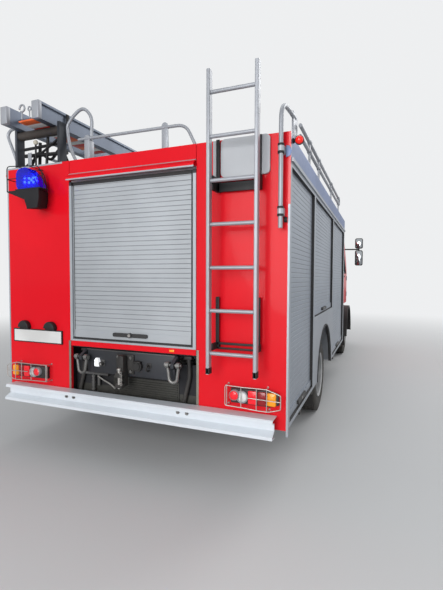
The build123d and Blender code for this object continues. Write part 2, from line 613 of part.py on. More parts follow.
with BuildPart() as tow_gear:
    jaw = (HITCH["x"] - 45, HITCH["x"] + 45)
    block((HITCH["x"] - 70, HITCH["x"] + 70), (REAR + 70, REAR + 90), (HITCH["z"] - 80, HITCH["z"] + 80))
    for z in (HITCH["z"] + 38, HITCH["z"] - 62):
        block(jaw, (REAR - 40, REAR + 70), (z, z + 24))
    block(jaw, (REAR + 40, REAR + 72), (HITCH["z"] - 62, HITCH["z"] + 62))
    rod((HITCH["x"], REAR, HITCH["z"] - 95), (HITCH["x"], REAR, HITCH["z"] + 95), HITCH["pin_r"])
    for x in SHACKLE_X:
        block((x - 14, x + 14), (REAR + 10, REAR + 90), (SHACKLE["z"] - 40, SHACKLE["z"] + 40))
        rod((x - 62, REAR + 30, SHACKLE["z"]), (x + 62, REAR + 30, SHACKLE["z"]), 14)
        r = SHACKLE["bow_r"]
        bent_tube([(x - r, REAR + 30, SHACKLE["z"] + 8), (x - r, REAR + 6, SHACKLE["z"] - 120),
                   (x + r, REAR + 6, SHACKLE["z"] - 120), (x + r, REAR + 30, SHACKLE["z"] + 8)],
                  36, SHACKLE["bar_r"])
save(tow_gear.part, "tow_gear")

# Rear bumper beam: sheet folded into an upper lip, a set-back web and a lower lip, on two arms

BEAM_X = (-1175.0, 1175.0)
BEAM_FACE = REAR - 115.0
BEAM_T = 6.0
BEAM_FOLDS = (  # distance in front of the rear face, height
    (8.0, 528.0), (107.0, 528.0), (115.0, 520.0), (115.0, 504.0), (72.0, 490.0),
    (68.0, 446.0), (122.0, 420.0), (122.0, 398.0), (60.0, 392.0))

with BuildPart() as rear_bumper:
    with BuildSketch(Plane.YZ.offset(BEAM_X[0])) as beam:
        with BuildLine():
            Polyline(*[(REAR - out, z) for out, z in BEAM_FOLDS])
            offset(amount=BEAM_T, side=Side.LEFT, kind=Kind.INTERSECTION)
        make_face()
    extrude(beam.sketch, amount=BEAM_X[1] - BEAM_X[0])
    for name, side in SIDES:
        block((side * 360, side * (RAIL_OUT - RAIL_T)), (REAR - 64, RAIL_REAR + 120), (430, 500))
        block((side * 360, side * (RAIL_OUT - RAIL_T)), (RAIL_REAR, RAIL_REAR + 120), (500, RAIL_Z0))
save(rear_bumper.part, "rear_bumper")

# Rear ladder with its mounting bars

LADDER = {"x": 902.0, "half": 164.5, "y": (REAR - 165.0, REAR - 115.0), "z": (800.0, 2800.0),
          "rail": 25.0, "rung_r": 13.0, "first": 940.0, "pitch": 286.0, "rungs": 7}

with BuildPart() as rear_ladder:
    for side in (-1, 1):
        x = LADDER["x"] + side * LADDER["half"]
        rounded_block((x - LADDER["rail"] / 2, x + LADDER["rail"] / 2), LADDER["y"], LADDER["z"], Axis.Z, 7)
    for n in range(LADDER["rungs"]):
        z = LADDER["first"] + n * LADDER["pitch"]
        y = sum(LADDER["y"]) / 2
        rod((LADDER["x"] - LADDER["half"], y, z), (LADDER["x"] + LADDER["half"], y, z), LADDER["rung_r"])
save(rear_ladder.part, "rear_ladder")

# Brackets on the rear face: two open frames that hold the ladder, and the beacon's shelf with its guard

FRAME_FLAT_Y = (REAR - 34.0, REAR - 22.0)
FRAME_UPRIGHTS = (  # left and right edge of each upright flat, and of its arm to the ladder's rail
    {"x": (743.0, 768.0), "arm": (738.0, 756.0)},
    {"x": (1040.0, 1063.0), "arm": (1048.0, 1066.0)},
)
LADDER_FRAMES = (  # ends of the uprights, then the lower and upper edge of each cross bar
    {"z": (2030.0, 2385.0), "bars": ((2030.0, 2092.0), (2100.0, 2126.0))},
    {"z": (952.0, 1315.0), "bars": ((952.0, 966.0), (984.0, 1000.0))},
)
BEACON = {"x": (-1036.0, -713.0), "y": (REAR - 160.0, REAR - 12.0), "z": 2150.0, "top": 2331.0}
GUARD_WIRE_R = 4.0
GUARD_HOOPS_Y = (REAR - 140.0, REAR - 40.0)
GUARD_OUTLINE = ((-1078.0, 2146.0), (-1078.0, 2366.0), (-880.0, 2366.0), (-750.0, 2300.0), (-690.0, 2146.0))
GUARD_STAY_R = 3.2

with BuildPart() as rear_brackets:
    for frame in LADDER_FRAMES:
        for upright in FRAME_UPRIGHTS:
            block(upright["x"], FRAME_FLAT_Y, frame["z"])
            block(upright["x"], (FRAME_FLAT_Y[0], REAR), (frame["bars"][0][0], frame["bars"][1][1]))
            bar_z = frame["bars"][0]
            block(upright["arm"], (LADDER["y"][1], FRAME_FLAT_Y[1]), (bar_z[0], frame["bars"][1][1]))
        for bar_z in frame["bars"]:
            block((FRAME_UPRIGHTS[0]["x"][0], FRAME_UPRIGHTS[1]["x"][1]), FRAME_FLAT_Y, bar_z)
    prism(Plane.XZ.offset(-REAR), [
        (-1095, BEACON["z"]), (-1060, BEACON["z"] - 10), (-860, BEACON["z"] - 84), (-860, BEACON["z"] - 156),
        (-722, BEACON["z"] - 156), (-665, BEACON["z"] - 118), (-665, BEACON["z"])], 163)
    for y in GUARD_HOOPS_Y:
        bent_tube([(x, y, z) for x, z in GUARD_OUTLINE], 30, GUARD_WIRE_R)
    for x, z in ((-1078, 2260), (-980, 2366), (-815, 2333)):
        rod((x, GUARD_HOOPS_Y[0], z), (x, REAR, z), GUARD_STAY_R)
save(rear_brackets.part, "rear_brackets")

with BuildPart() as blank_boards:
    rounded_block((773, 1117), (REAR - 22, REAR), (2130, 2387), Axis.Y, 30)
    block((-1186, -646), (REAR - 14, REAR), (886, 1000))
save(blank_boards.part, "blank_boards")

# Hand rails: the corner grab tube on its two clamps, the roof rails and the hoop

GRAB_X = 1187.0
GRAB_R = 17.0
GRAB_Y = REAR - 62.0
CLAMP_Z = (1871.0, 2266.0)
CLAMP_RING = {"r": 26.0, "half": 5.0, "spread": 25.0}
RAIL_TUBE_R = 15.0
SIDE_RAIL_X = 1218.0
SIDE_RAIL_Y = (REAR + 480, REAR + 3520)
SIDE_POSTS = (REAR + 900, REAR + 1450, REAR + 2490, REAR + 3400)
REAR_RAIL = {"y": REAR + 50, "z": 2555.0, "x": (-460.0, 430.0), "foot": 550.0}


with BuildPart() as hand_rails:
    for name, side in SIDES[1:]:
        bent_tube([(side * GRAB_X, GRAB_Y, 1766), (side * GRAB_X, GRAB_Y, 2625),
                   (side * GRAB_X, REAR + 425, 2648)], 90, GRAB_R)
        block((side * (GRAB_X - 8), side * (GRAB_X + 8)), (REAR + 345, REAR + 495), (ROOF_Z, 2662))
        for z in CLAMP_Z:
            for ring_z in (z - CLAMP_RING["spread"], z + CLAMP_RING["spread"]):
                rod((side * GRAB_X, GRAB_Y, ring_z - CLAMP_RING["half"]),
                    (side * GRAB_X, GRAB_Y, ring_z + CLAMP_RING["half"]), CLAMP_RING["r"])
            block((side * (GRAB_X - 12), side * (GRAB_X + 30)), (GRAB_Y, REAR), (z - 30, z + 30))
    for name, side in SIDES:
        for z in (2520, 2600):
            rod((side * SIDE_RAIL_X, SIDE_RAIL_Y[0], z), (side * SIDE_RAIL_X, SIDE_RAIL_Y[1], z), RAIL_TUBE_R)
        for y in SIDE_POSTS:
            block((side * (SIDE_RAIL_X - 10), side * (SIDE_RAIL_X + 10)), (y - 30, y + 30), (ROOF_Z, 2600))
    bent_tube([(REAR_RAIL["x"][0], REAR_RAIL["y"], REAR_RAIL["z"]),
               (REAR_RAIL["x"][1] + 40, REAR_RAIL["y"], REAR_RAIL["z"]),
               (REAR_RAIL["foot"], REAR_RAIL["y"], ROOF_Z)], 70, RAIL_TUBE_R)
    for x0, x1 in ((-412, -362), (262, 332)):
        block((x0, x1), (REAR_RAIL["y"] - 6, REAR_RAIL["y"] + 6), (ROOF_Z, REAR_RAIL["z"]))
    bent_tube([(-510, REAR_RAIL["y"] + 45, ROOF_Z), (-628, REAR_RAIL["y"] + 45, 2680),
               (-520, REAR_RAIL["y"] + 45, 2815), (-385, REAR_RAIL["y"] + 45, 2815),
               (-380, REAR_RAIL["y"] + 45, ROOF_Z)], 50, RAIL_TUBE_R)
    bent_tube([(-1200, REAR_RAIL["y"], ROOF_Z), (-1310, REAR_RAIL["y"], 2665), (-1275, REAR_RAIL["y"], 2744),
               (-1170, REAR_RAIL["y"], 2744)], 35, RAIL_TUBE_R)
    block((-BODY_HALF, BODY_HALF), (REAR + FACE_T, BODY_FRONT), (ROOF_Z - 60, ROOF_Z), mode=Mode.SUBTRACT)
save(hand_rails.part, "hand_rails")

# Roof ladder on its gantry of rollers

ROOF_LADDER = {"x": (-1100.0, -760.0), "y": (REAR - 150, REAR + 3900), "z": (2704.0, 2844.0),
               "half": 34.0, "flange": 18.0, "web": 14.0}
ROLLER = {"z": 2668.0, "r": 36.0, "x": (-1150.0, -680.0)}
GANTRY_Y = (REAR + 50, REAR + 1900, REAR + 3600)

with BuildPart() as roof_ladder:
    z0, z1 = ROOF_LADDER["z"]
    for x, out in zip(ROOF_LADDER["x"], (-1, 1)):
        face, back = x + out * ROOF_LADDER["half"], x - out * ROOF_LADDER["half"]
        web, flange = ROOF_LADDER["web"], ROOF_LADDER["flange"]
        prism(Plane.XZ.offset(-ROOF_LADDER["y"][1]), [
            (back, z0), (face, z0), (face, z0 + flange), (face - out * web, z0 + flange + 6),
            (face - out * web, z1 - flange - 6), (face, z1 - flange), (face, z1), (back, z1)],
            ROOF_LADDER["y"][1] - ROOF_LADDER["y"][0])
    for n in range(13):
        y = ROOF_LADDER["y"][0] + 150 + n * 300
        rod((ROOF_LADDER["x"][0], y, 2775), (ROOF_LADDER["x"][1], y, 2775), 16)
save(roof_ladder.part, "roof_ladder")

with BuildPart() as ladder_gantry:
    for y in GANTRY_Y:
        rod((ROLLER["x"][0], y, ROLLER["z"]), (ROLLER["x"][1], y, ROLLER["z"]), ROLLER["r"])
        for x in ROLLER["x"]:
            block((x - 12, x + 12), (y - 40, y + 40), (ROOF_Z, ROLLER["z"] + 60))
save(ladder_gantry.part, "ladder_gantry")

# Lamps on the body

TAIL_LAMPS = ({"side": -1, "inner": 765.0}, {"side": 1, "inner": 826.0})
LAMP_Z = 638.0
LAMP_BACK_Y = REAR - 30.0
LENS_Y = REAR - 44.0
ROUND_LENSES = ({"x": 884.0, "r": 38.0}, {"x": 944.0, "r": 36.0})
FLAT_LENSES = ({"x": (988.0, 1046.0)}, {"x": (1054.0, 1106.0)}, {"x": (1114.0, 1174.0)})
WIRE_GUARD = {"y": REAR - 62.0, "r": 4.5, "z": (568.0, 711.0), "shoulder": 1128.0, "tip": 1216.0,
              "tip_z": (590.0, 682.0), "uprights": (935.0, 1050.0, 1110.0)}


def tail_lamp(side, inner):
    """A lamp housing with two round and three flat lenses, behind its wire guard."""
    def across(x):
        return side * x

    z0, z1 = WIRE_GUARD["z"]
    prism(Plane.XZ.offset(-REAR), [
        (across(inner + 12), LAMP_Z - 54), (across(1130), LAMP_Z - 54), (across(1204), LAMP_Z - 30),
        (across(1204), LAMP_Z + 30), (across(1130), LAMP_Z + 54), (across(inner + 12), LAMP_Z + 54)],
        REAR - LAMP_BACK_Y)
    for lens in ROUND_LENSES:
        rod((across(lens["x"]), REAR, LAMP_Z), (across(lens["x"]), LENS_Y, LAMP_Z), lens["r"])
    for lens in FLAT_LENSES:
        block((across(lens["x"][0]), across(lens["x"][1])), (LENS_Y, REAR), (LAMP_Z - 46, LAMP_Z + 46))
    y, r = WIRE_GUARD["y"], WIRE_GUARD["r"]
    loop = [(inner, z0), (WIRE_GUARD["shoulder"], z0), (WIRE_GUARD["tip"], WIRE_GUARD["tip_z"][0]),
            (WIRE_GUARD["tip"], WIRE_GUARD["tip_z"][1]), (WIRE_GUARD["shoulder"], z1), (inner, z1)]
    for start, end in zip(loop, loop[1:] + loop[:1]):
        rod((across(start[0]), y, start[1]), (across(end[0]), y, end[1]), r)
    for x, z in loop:
        with Locations((across(x), y, z)):
            Sphere(r)
        rod((across(x), y, z), (across(x), REAR, z), r)
    for x in WIRE_GUARD["uprights"]:
        rod((across(x), y, z0), (across(x), y, z1), r)
    rod((across(WIRE_GUARD["uprights"][0]), y, LAMP_Z), (across(WIRE_GUARD["tip"]), y, LAMP_Z), r)


MARKER = {"x": BODY_HALF + 38.0, "y": REAR + 60.0, "z": 2360.0, "r": 36.0, "half": 22.0}

with BuildPart() as rear_lamps:
    for lamp in TAIL_LAMPS:
        tail_lamp(lamp["side"], lamp["inner"])
    for name, side in SIDES:
        centre = (side * MARKER["x"], MARKER["y"], MARKER["z"])
        rod((side * BODY_HALF, MARKER["y"], MARKER["z"]), centre, 15)
        rod((centre[0], MARKER["y"] - MARKER["half"], MARKER["z"]),
            (centre[0], MARKER["y"] + MARKER["half"], MARKER["z"]), MARKER["r"])
save(rear_lamps.part, "rear_lamps")

with BuildPart() as beacon:
    x0, x1 = BEACON["x"]
    prism(Plane.XZ.offset(-BEACON["y"][1]), [
        (x0, BEACON["z"]), (x0, BEACON["top"]), (-860, BEACON["top"]), (-775, BEACON["top"] - 78),
        (x1, BEACON["z"])], BEACON["y"][1] - BEACON["y"][0])
    fillet(beacon.edges().filter_by(Axis.Y).group_by(Axis.Z)[1:], 24)
    fillet(beacon.faces().sort_by(Axis.Y)[0].edges().filter_by(lambda e: e.center().Z > BEACON["z"] + 1), 22)
save(beacon.part, "beacon")

# Light mast: a fixed outer tube with two stages that slide up and a head that turns

with BuildPart() as mast_base:
    rod((MAST["x"], MAST["y"], MAST["z0"] - 30), (MAST["x"], MAST["y"], MAST["top"]), STAGE_R[0])
    rod((MAST["x"], MAST["y"], ROOF_Z), (MAST["x"], MAST["y"], MAST["top"]), STAGE_R[0] + 16)
    rod((MAST["x"], MAST["y"], MAST["z0"]), (MAST["x"], MAST["y"], ROOF_Z), STAGE_R[0] - STAGE_WALL,
        mode=Mode.SUBTRACT)
    rod((MAST["x"], MAST["y"], ROOF_Z - 5), (MAST["x"], MAST["y"], MAST["top"] + 5), STAGE_R[1] + COLLAR_GAP,
        mode=Mode.SUBTRACT)
save(mast_base.part, "mast_base")

with BuildPart() as mast_stage_1:
    rod((MAST["x"], MAST["y"], MAST["z0"] + 10), (MAST["x"], MAST["y"], MAST["top"] + 30), STAGE_R[1])
    rod((MAST["x"], MAST["y"], MAST["top"] + 6), (MAST["x"], MAST["y"], MAST["top"] + 30), STAGE_R[1] + 14)
    rod((MAST["x"], MAST["y"], MAST["z0"] + 20), (MAST["x"], MAST["y"], MAST["top"]),
        STAGE_R[1] - STAGE_WALL, mode=Mode.SUBTRACT)
    rod((MAST["x"], MAST["y"], MAST["top"] - 5), (MAST["x"], MAST["y"], MAST["top"] + 35),
        STAGE_R[2] + COLLAR_GAP, mode=Mode.SUBTRACT)
save(mast_stage_1.part, "mast_stage_1")

HEAD_Z = MAST["top"] + 65.0
HEAD_PIN_R = 20.0
FLOODS = {"half": 420.0, "bar": 25.0, "half_x": 90.0, "half_y": 55.0, "height": 150.0,
          "places": (-1.0, -0.45, 0.45, 1.0)}

with BuildPart() as mast_stage_2:
    rod((MAST["x"], MAST["y"], MAST["z0"] + 40), (MAST["x"], MAST["y"], HEAD_Z - 1), STAGE_R[2])
    rod((MAST["x"], MAST["y"], HEAD_Z - 1), (MAST["x"], MAST["y"], HEAD_Z + 48), HEAD_PIN_R)
save(mast_stage_2.part, "mast_stage_2")

with BuildPart() as mast_head:
    rod((MAST["x"], MAST["y"], HEAD_Z), (MAST["x"], MAST["y"], HEAD_Z + 60), 60)
    rod((MAST["x"], MAST["y"], HEAD_Z - 5), (MAST["x"], MAST["y"], HEAD_Z + 49), HEAD_PIN_R + 0.5,
        mode=Mode.SUBTRACT)
    block((MAST["x"] - FLOODS["half"], MAST["x"] + FLOODS["half"]),
          (MAST["y"] - FLOODS["bar"], MAST["y"] + FLOODS["bar"]), (HEAD_Z + 55, HEAD_Z + 100))
    for place in FLOODS["places"]:
        x = MAST["x"] + place * (FLOODS["half"] - FLOODS["half_x"])
        rounded_block((x - FLOODS["half_x"], x + FLOODS["half_x"]),
                      (MAST["y"] - FLOODS["half_y"], MAST["y"] + FLOODS["half_y"]),
                      (HEAD_Z + 100, HEAD_Z + 100 + FLOODS["height"]), Axis.Y, 14)
save(mast_head.part, "mast_head")

# Cab: one curved shape seen from three sides; the shell and the doors are cut from it

CAB_WALL = 45.0
WINDSCREEN_Z = 1560.0


def cab_shape(inset):
    """The cab's full volume, drawn in from its outside by inset."""
    with BuildPart() as shape:
        with BuildSketch(Plane.YZ) as side_view:
            with BuildLine():
                waist = (CAB_FRONT - inset, WINDSCREEN_Z - inset * 0.2)
                FilletPolyline((CAB_REAR + inset, CAB_Z + inset), (CAB_REAR + inset, CAB_ROOF_Z - inset),
                               (3180 - inset * 0.7, CAB_ROOF_Z - inset), waist, radius=60)
                Polyline(waist, (CAB_FRONT - inset, CAB_Z + inset), (CAB_REAR + inset, CAB_Z + inset))
            make_face()
        extrude(side_view.sketch, amount=CAB_HALF + 50, both=True)
        with BuildSketch(Plane.XY.offset(CAB_Z - 10)) as plan:
            with BuildLine():
                half = CAB_HALF - inset
                front = CAB_FRONT - inset
                FilletPolyline((-half, CAB_REAR - 10), (-half, front), (half, front), (half, CAB_REAR - 10),
                               radius=170 - inset)
                Line((half, CAB_REAR - 10), (-half, CAB_REAR - 10))
            make_face()
        extrude(plan.sketch, amount=CAB_ROOF_Z - CAB_Z + 20, mode=Mode.INTERSECT)
        with BuildSketch(Plane.XZ.offset(-CAB_FRONT - 10)) as front_view:
            with BuildLine():
                roof_half = CAB_HALF - 70 - inset
                FilletPolyline((half, WINDSCREEN_Z), (roof_half, CAB_ROOF_Z - inset),
                               (-roof_half, CAB_ROOF_Z - inset), (-half, WINDSCREEN_Z), radius=60)
                Polyline((-half, WINDSCREEN_Z), (-half, CAB_Z - 10), (half, CAB_Z - 10), (half, WINDSCREEN_Z))
            make_face()
        extrude(front_view.sketch, amount=CAB_FRONT - CAB_REAR + 20, mode=Mode.INTERSECT)
    return shape.part


cab_outside = cab_shape(0)

with BuildPart() as cab_skin:
    add(cab_outside)
    add(cab_shape(CAB_WALL), mode=Mode.SUBTRACT)

PANE_IN = 18.0
PANE_T = 6.0

with BuildPart() as pane_skin:
    add(cab_shape(PANE_IN))
    add(cab_shape(PANE_IN + PANE_T), mode=Mode.SUBTRACT)

SCREEN_RAKE = 270.0 / 890.0
DOOR_GAP = 6.0
DOORS = (  # rear and front edge, the window in it, and how its front edge leans back above the waist
    {"which": "front", "y": (2330.0, 3190.0), "window": (2420.0, 3090.0), "rake": SCREEN_RAKE},
    {"which": "rear", "y": (1270.0, 2230.0), "window": (1370.0, 2140.0), "rake": 0.0},
)
DOOR_Z = (1000.0, 2340.0)
WINDOW_Z = (1580.0, 2230.0)
SCREENS = (  # windscreen, then rear window
    {"x": (-900.0, 900.0), "y": (3000.0, CAB_FRONT + 10), "z": (1600.0, 2280.0)},
    {"x": (-620.0, 620.0), "y": (CAB_REAR - 5, CAB_REAR + CAB_WALL + 5), "z": (1650.0, 2150.0)},
)


def side_opening(side, y, z, rake, mode=Mode.ADD):
    """A door or window outline through one side of the cab, its front edge leaning back above the waist."""
    bend = max(z[0], WINDSCREEN_Z)
    points = [(y[0], z[0]), (y[1], z[0])]
    if rake and z[0] < WINDSCREEN_Z:
        points.append((y[1], bend))
    points += [(y[1] - rake * (z[1] - bend), z[1]), (y[0], z[1])]
    start = 900 if side > 0 else -CAB_HALF - 5
    prism(Plane.YZ.offset(start), points, CAB_HALF + 5 - 900, mode=mode)


HUMP = {"half": 380.0, "y": (1700.0, 3100.0), "top": 1160.0, "wall": 30.0}

with BuildPart() as cab_shell:
    add(cab_skin.part)
    block((-HUMP["half"], HUMP["half"]), HUMP["y"], (CAB_Z, HUMP["top"]))
    block((-HUMP["half"] + HUMP["wall"], HUMP["half"] - HUMP["wall"]),
          (HUMP["y"][0] + HUMP["wall"], HUMP["y"][1] - HUMP["wall"]),
          (CAB_Z - 5, HUMP["top"] - HUMP["wall"]), mode=Mode.SUBTRACT)
    for screen in SCREENS:
        block(screen["x"], screen["y"], screen["z"], mode=Mode.SUBTRACT)
    for name, side in SIDES:
        for door in DOORS:
            side_opening(side, door["y"], DOOR_Z, door["rake"], mode=Mode.SUBTRACT)
    block((-930, 930), (CAB_FRONT - 15, CAB_FRONT), (870, CAB_Z + 30))
    for name, side in SIDES:
        y, z = CAB_PIVOT["y"], CAB_PIVOT["z"]
        start = CAB_PIVOT["arm"][0] if side > 0 else -CAB_PIVOT["arm"][1]
        prism(Plane.YZ.offset(start), [
            (y + 35, z - 30), (y + 35, z + 25), (y - 115, z + 165), (y - 115, CAB_Z + 5), (y - 185, CAB_Z + 5),
            (y - 185, z + 140), (y - 35, z - 10), (y - 35, z - 30)], CAB_PIVOT["arm"][1] - CAB_PIVOT["arm"][0])
        rod((side * (CAB_PIVOT["arm"][0] - 5), y, z), (side * (CAB_PIVOT["arm"][1] + 5), y, z),
            CAB_PIVOT["pin_r"] + CAB_PIVOT["gap"], mode=Mode.SUBTRACT)
save(cab_shell.part, "cab_shell")

with BuildPart() as cab_glass:
    add(pane_skin.part)
    with BuildPart(mode=Mode.PRIVATE) as screens:
        for screen in SCREENS:
            block(screen["x"], screen["y"], screen["z"])
    add(screens.part, mode=Mode.INTERSECT)
save(cab_glass.part, "cab_glass")

for door in DOORS:
    y = (door["y"][0] + DOOR_GAP, door["y"][1] - DOOR_GAP)
    z = (DOOR_Z[0] + DOOR_GAP, DOOR_Z[1] - DOOR_GAP)
    for name, side in SIDES:
        with BuildPart() as door_area:
            side_opening(side, y, z, door["rake"])
        with BuildPart() as window_area:
            side_opening(side, door["window"], WINDOW_Z, door["rake"])
        with BuildPart() as cab_door:
            add(cab_skin.part)
            add(door_area.part, mode=Mode.INTERSECT)
            add(window_area.part, mode=Mode.SUBTRACT)
            block((side * (CAB_HALF - 2), side * (CAB_HALF + 22)), (y[0] + 50, y[0] + 190), (1480, 1510))
        save(cab_door.part, f"cab_door_{door['which']}_{name}")
        with BuildPart() as door_glass:
            add(pane_skin.part)
            add(window_area.part, mode=Mode.INTERSECT)
        save(door_glass.part, f"door_glass_{door['which']}_{name}")

# Cab fittings

GRILLE = {"half": 620.0, "z": (1010.0, 1340.0), "rim": 28.0, "bars": 6, "bar": 20.0, "proud": 26.0}

with BuildPart() as grille:
    z0, z1 = GRILLE["z"]
    rounded_block((-GRILLE["half"], GRILLE["half"]), (CAB_FRONT, CAB_FRONT + GRILLE["proud"]), (z0, z1), Axis.Y, 40)
    block((-GRILLE["half"] + GRILLE["rim"], GRILLE["half"] - GRILLE["rim"]),
          (CAB_FRONT + 6, CAB_FRONT + GRILLE["proud"] + 5), (z0 + GRILLE["rim"], z1 - GRILLE["rim"]),
          mode=Mode.SUBTRACT)
    pitch = (z1 - z0 - 2 * GRILLE["rim"]) / (GRILLE["bars"] + 1)
    for n in range(1, GRILLE["bars"] + 1):
        z = z0 + GRILLE["rim"] + n * pitch
        prism(Plane.YZ.offset(-GRILLE["half"] + 10), [
            (CAB_FRONT + 5, z + 10), (CAB_FRONT + GRILLE["proud"] - 4, z - 2),
            (CAB_FRONT + GRILLE["proud"] - 4, z - 10), (CAB_FRONT + 5, z - 2)], 2 * GRILLE["half"] - 20)
save(grille.part, "grille")

MIRROR = {"x": (1275.0, 1435.0), "y": (3300.0, 3370.0)}

with BuildPart() as mirrors:
    for name, side in SIDES:
        for z in ((1740, 2070), (2110, 2330)):
            rounded_block((side * MIRROR["x"][0], side * MIRROR["x"][1]), MIRROR["y"], z, Axis.Y, 35)
        rod((side * 1355, 3335, 2060), (side * 1355, 3335, 2120), 14)
        rod((side * 1045, 3230, 2090), (side * 1355, 3335, 2090), 14)
    add(cab_outside, mode=Mode.SUBTRACT)
save(mirrors.part, "mirrors")

SEAT = {"half": 240.0, "base": CAB_Z + CAB_WALL}

with BuildPart() as cab_seats:
    for x in (-680, 680):
        block((x - 180, x + 180), (2500, 2900), (SEAT["base"], 1270))
        rounded_block((x - SEAT["half"], x + SEAT["half"]), (2440, 2940), (1260, 1400), Axis.X, 45)
        rounded_block((x - SEAT["half"], x + SEAT["half"]), (2380, 2490), (1390, 2060), Axis.Y, 70)
    block((-960, 960), (CAB_REAR + 60, 1350), (SEAT["base"], 1290))
    rounded_block((-980, 980), (CAB_REAR + 60, 1440), (1280, 1420), Axis.X, 45)
    rounded_block((-980, 980), (CAB_REAR + 60, CAB_REAR + 170), (1410, 2080), Axis.X, 40)
save(cab_seats.part, "cab_seats")

with BuildPart() as dashboard:
    prism(Plane.YZ.offset(-930), [(3405, 1250), (3140, 1300), (3060, 1400), (3100, 1510), (3405, 1530)], 1860)
    tilt = Plane(origin=(-680, 2960, 1570), z_dir=(0, -0.5, 0.85))
    with Locations(tilt):
        Torus(205, 15)
        Cylinder(45, 40)
        with PolarLocations(105, 3):
            Box(215, 30, 14)
    rod((-680, 2960, 1570), (-680, 3110, 1315), 24)
save(dashboard.part, "dashboard")

with BuildPart() as light_bar:
    rounded_block((-700, 700), (2700, 2980), (CAB_ROOF_Z, CAB_ROOF_Z + 50), Axis.Z, 60)
    for x0, x1 in ((-690, -230), (230, 690)):
        with BuildPart() as dome:
            rounded_block((x0, x1), (2715, 2965), (CAB_ROOF_Z + 50, CAB_ROOF_Z + 165), Axis.Z, 60)
            fillet(dome.faces().sort_by(Axis.Z)[-1].edges(), 30)
        add(dome.part)
save(light_bar.part, "light_bar")
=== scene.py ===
"""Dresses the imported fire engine: a finish for every piece, tyres, lamps, fittings, light and camera."""

from __future__ import annotations

import logging
from dataclasses import dataclass, field, replace
from enum import Enum
from math import cos, exp, pi, radians, sin

import bmesh
import bpy
from bpy.types import ID, Material, Node, NodeSocket, NodeTree, Object
from mathutils import Matrix, Vector


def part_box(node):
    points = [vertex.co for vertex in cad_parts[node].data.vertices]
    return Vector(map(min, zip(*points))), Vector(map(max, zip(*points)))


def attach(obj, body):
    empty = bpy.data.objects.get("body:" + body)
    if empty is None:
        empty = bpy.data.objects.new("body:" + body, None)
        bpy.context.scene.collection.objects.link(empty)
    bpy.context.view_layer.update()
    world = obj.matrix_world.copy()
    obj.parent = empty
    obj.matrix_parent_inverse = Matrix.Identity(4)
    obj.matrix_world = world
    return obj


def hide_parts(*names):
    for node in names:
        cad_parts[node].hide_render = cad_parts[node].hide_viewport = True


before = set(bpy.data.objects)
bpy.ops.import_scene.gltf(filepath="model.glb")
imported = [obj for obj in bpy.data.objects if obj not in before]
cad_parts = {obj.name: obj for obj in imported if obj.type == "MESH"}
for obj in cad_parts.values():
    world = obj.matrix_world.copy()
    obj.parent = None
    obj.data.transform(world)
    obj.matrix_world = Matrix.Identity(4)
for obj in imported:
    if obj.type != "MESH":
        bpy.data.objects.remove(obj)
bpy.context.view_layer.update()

log = logging.getLogger("fire_engine")

Point = tuple[float, float, float]
Colour = tuple[float, float, float]
Span = tuple[float, float] | None
Outline = list[tuple[float, float]]

SIDES = {"left": -1.0, "right": 1.0}
ACROSS: Point = (1.0, 0.0, 0.0)
AHEAD: Point = (0.0, 1.0, 0.0)
UP: Point = (0.0, 0.0, 1.0)
BACK: Point = (0.0, -1.0, 0.0)
DOWN: Point = (0.0, 0.0, -1.0)

# Driving places and sizes, in metres. A rear fitting ends at SKIN_Y, just inside the red skin.

REAR_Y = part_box("rear_panels")[1].y - 0.025
SKIN_Y = REAR_Y + 0.001
AXLE_FRONT_Y = 2.175
AXLE_REAR_Y = -1.455
HUB_Z = 0.390
FRONT_TYRE_X = 1.065
TWIN_OUTER_X = 1.092
TWIN_SPACING = 0.250
CAB_FRONT_Y = 3.450
BUMPER_FRONT_Y = 3.490
WAIST_Z = 1.560
WINDOW_Z = (1.580, 2.230)
RUBBER_WIDTH = 0.026
HANDLE_Z = (1.470, 1.520)
DOOR_SKIN_X = 1.1110
DOOR_LINING_X = 1.072
SCREEN_RAKE = 270.0 / 890.0
MAST_Y = 0.455
ROOF_Z = 2.390
ANY = 9.0


class Grain(Enum):
    """The fine relief that a finish shows."""

    SMOOTH = "smooth"
    PEEL = "peel"
    BRUSHED_X = "brushed along x"
    BRUSHED_Y = "brushed along y"
    BRUSHED_Z = "brushed along z"
    PEBBLE = "pebble"
    CAST = "cast"
    WEAVE = "weave"
    TREAD = "raised bars of a walk-on plate"
    RIBS = "upright ribs of a lens"


@dataclass(frozen=True)
class Finish:
    """How one kind of surface looks.

    The colour is linear. Patch is how far its brightness wanders, dust how much road dust it
    gathers near the ground, and relief the height of its grain in metres.
    """

    name: str
    colour: Colour
    roughness: float
    metallic: float = 0.0
    coat: float = 0.0
    grain: Grain = Grain.SMOOTH
    pitch: float = 0.004
    relief: float = 0.0002
    patch: float = 0.06
    dust: float = 0.25
    transmission: float = 0.0
    glow: float = 0.0
    specular: float = 0.5


RED = Finish("red_paint", (0.700, 0.005, 0.014), 0.30, coat=0.08, grain=Grain.PEEL, pitch=0.006,
             relief=0.00003, patch=0.025, dust=0.03, specular=0.11)
WHITE = Finish("white_paint", (0.680, 0.725, 0.775), 0.36, coat=0.2, grain=Grain.PEEL, pitch=0.006,
               relief=0.00004, patch=0.03, dust=0.10)
BOARD = Finish("board_white", (0.450, 0.465, 0.490), 0.42, grain=Grain.PEEL,
               relief=0.00003, patch=0.05, dust=0.10, specular=0.3)
ANODISED = Finish("aluminium", (0.345, 0.370, 0.410), 0.46, metallic=0.40, grain=Grain.BRUSHED_Z,
                  pitch=0.0009, relief=0.00004, patch=0.05, dust=0.12)
# Fascia metal whose blue colour is a painted reflection of the sky on plain metal.
FASCIA_SKY_REFLECTION = Finish("fascia_painted_sky_reflection", (0.175, 0.225, 0.375), 0.50, metallic=0.45, grain=Grain.BRUSHED_Y,
                pitch=0.0009, relief=0.00004, patch=0.05, dust=0.06, specular=0.25)
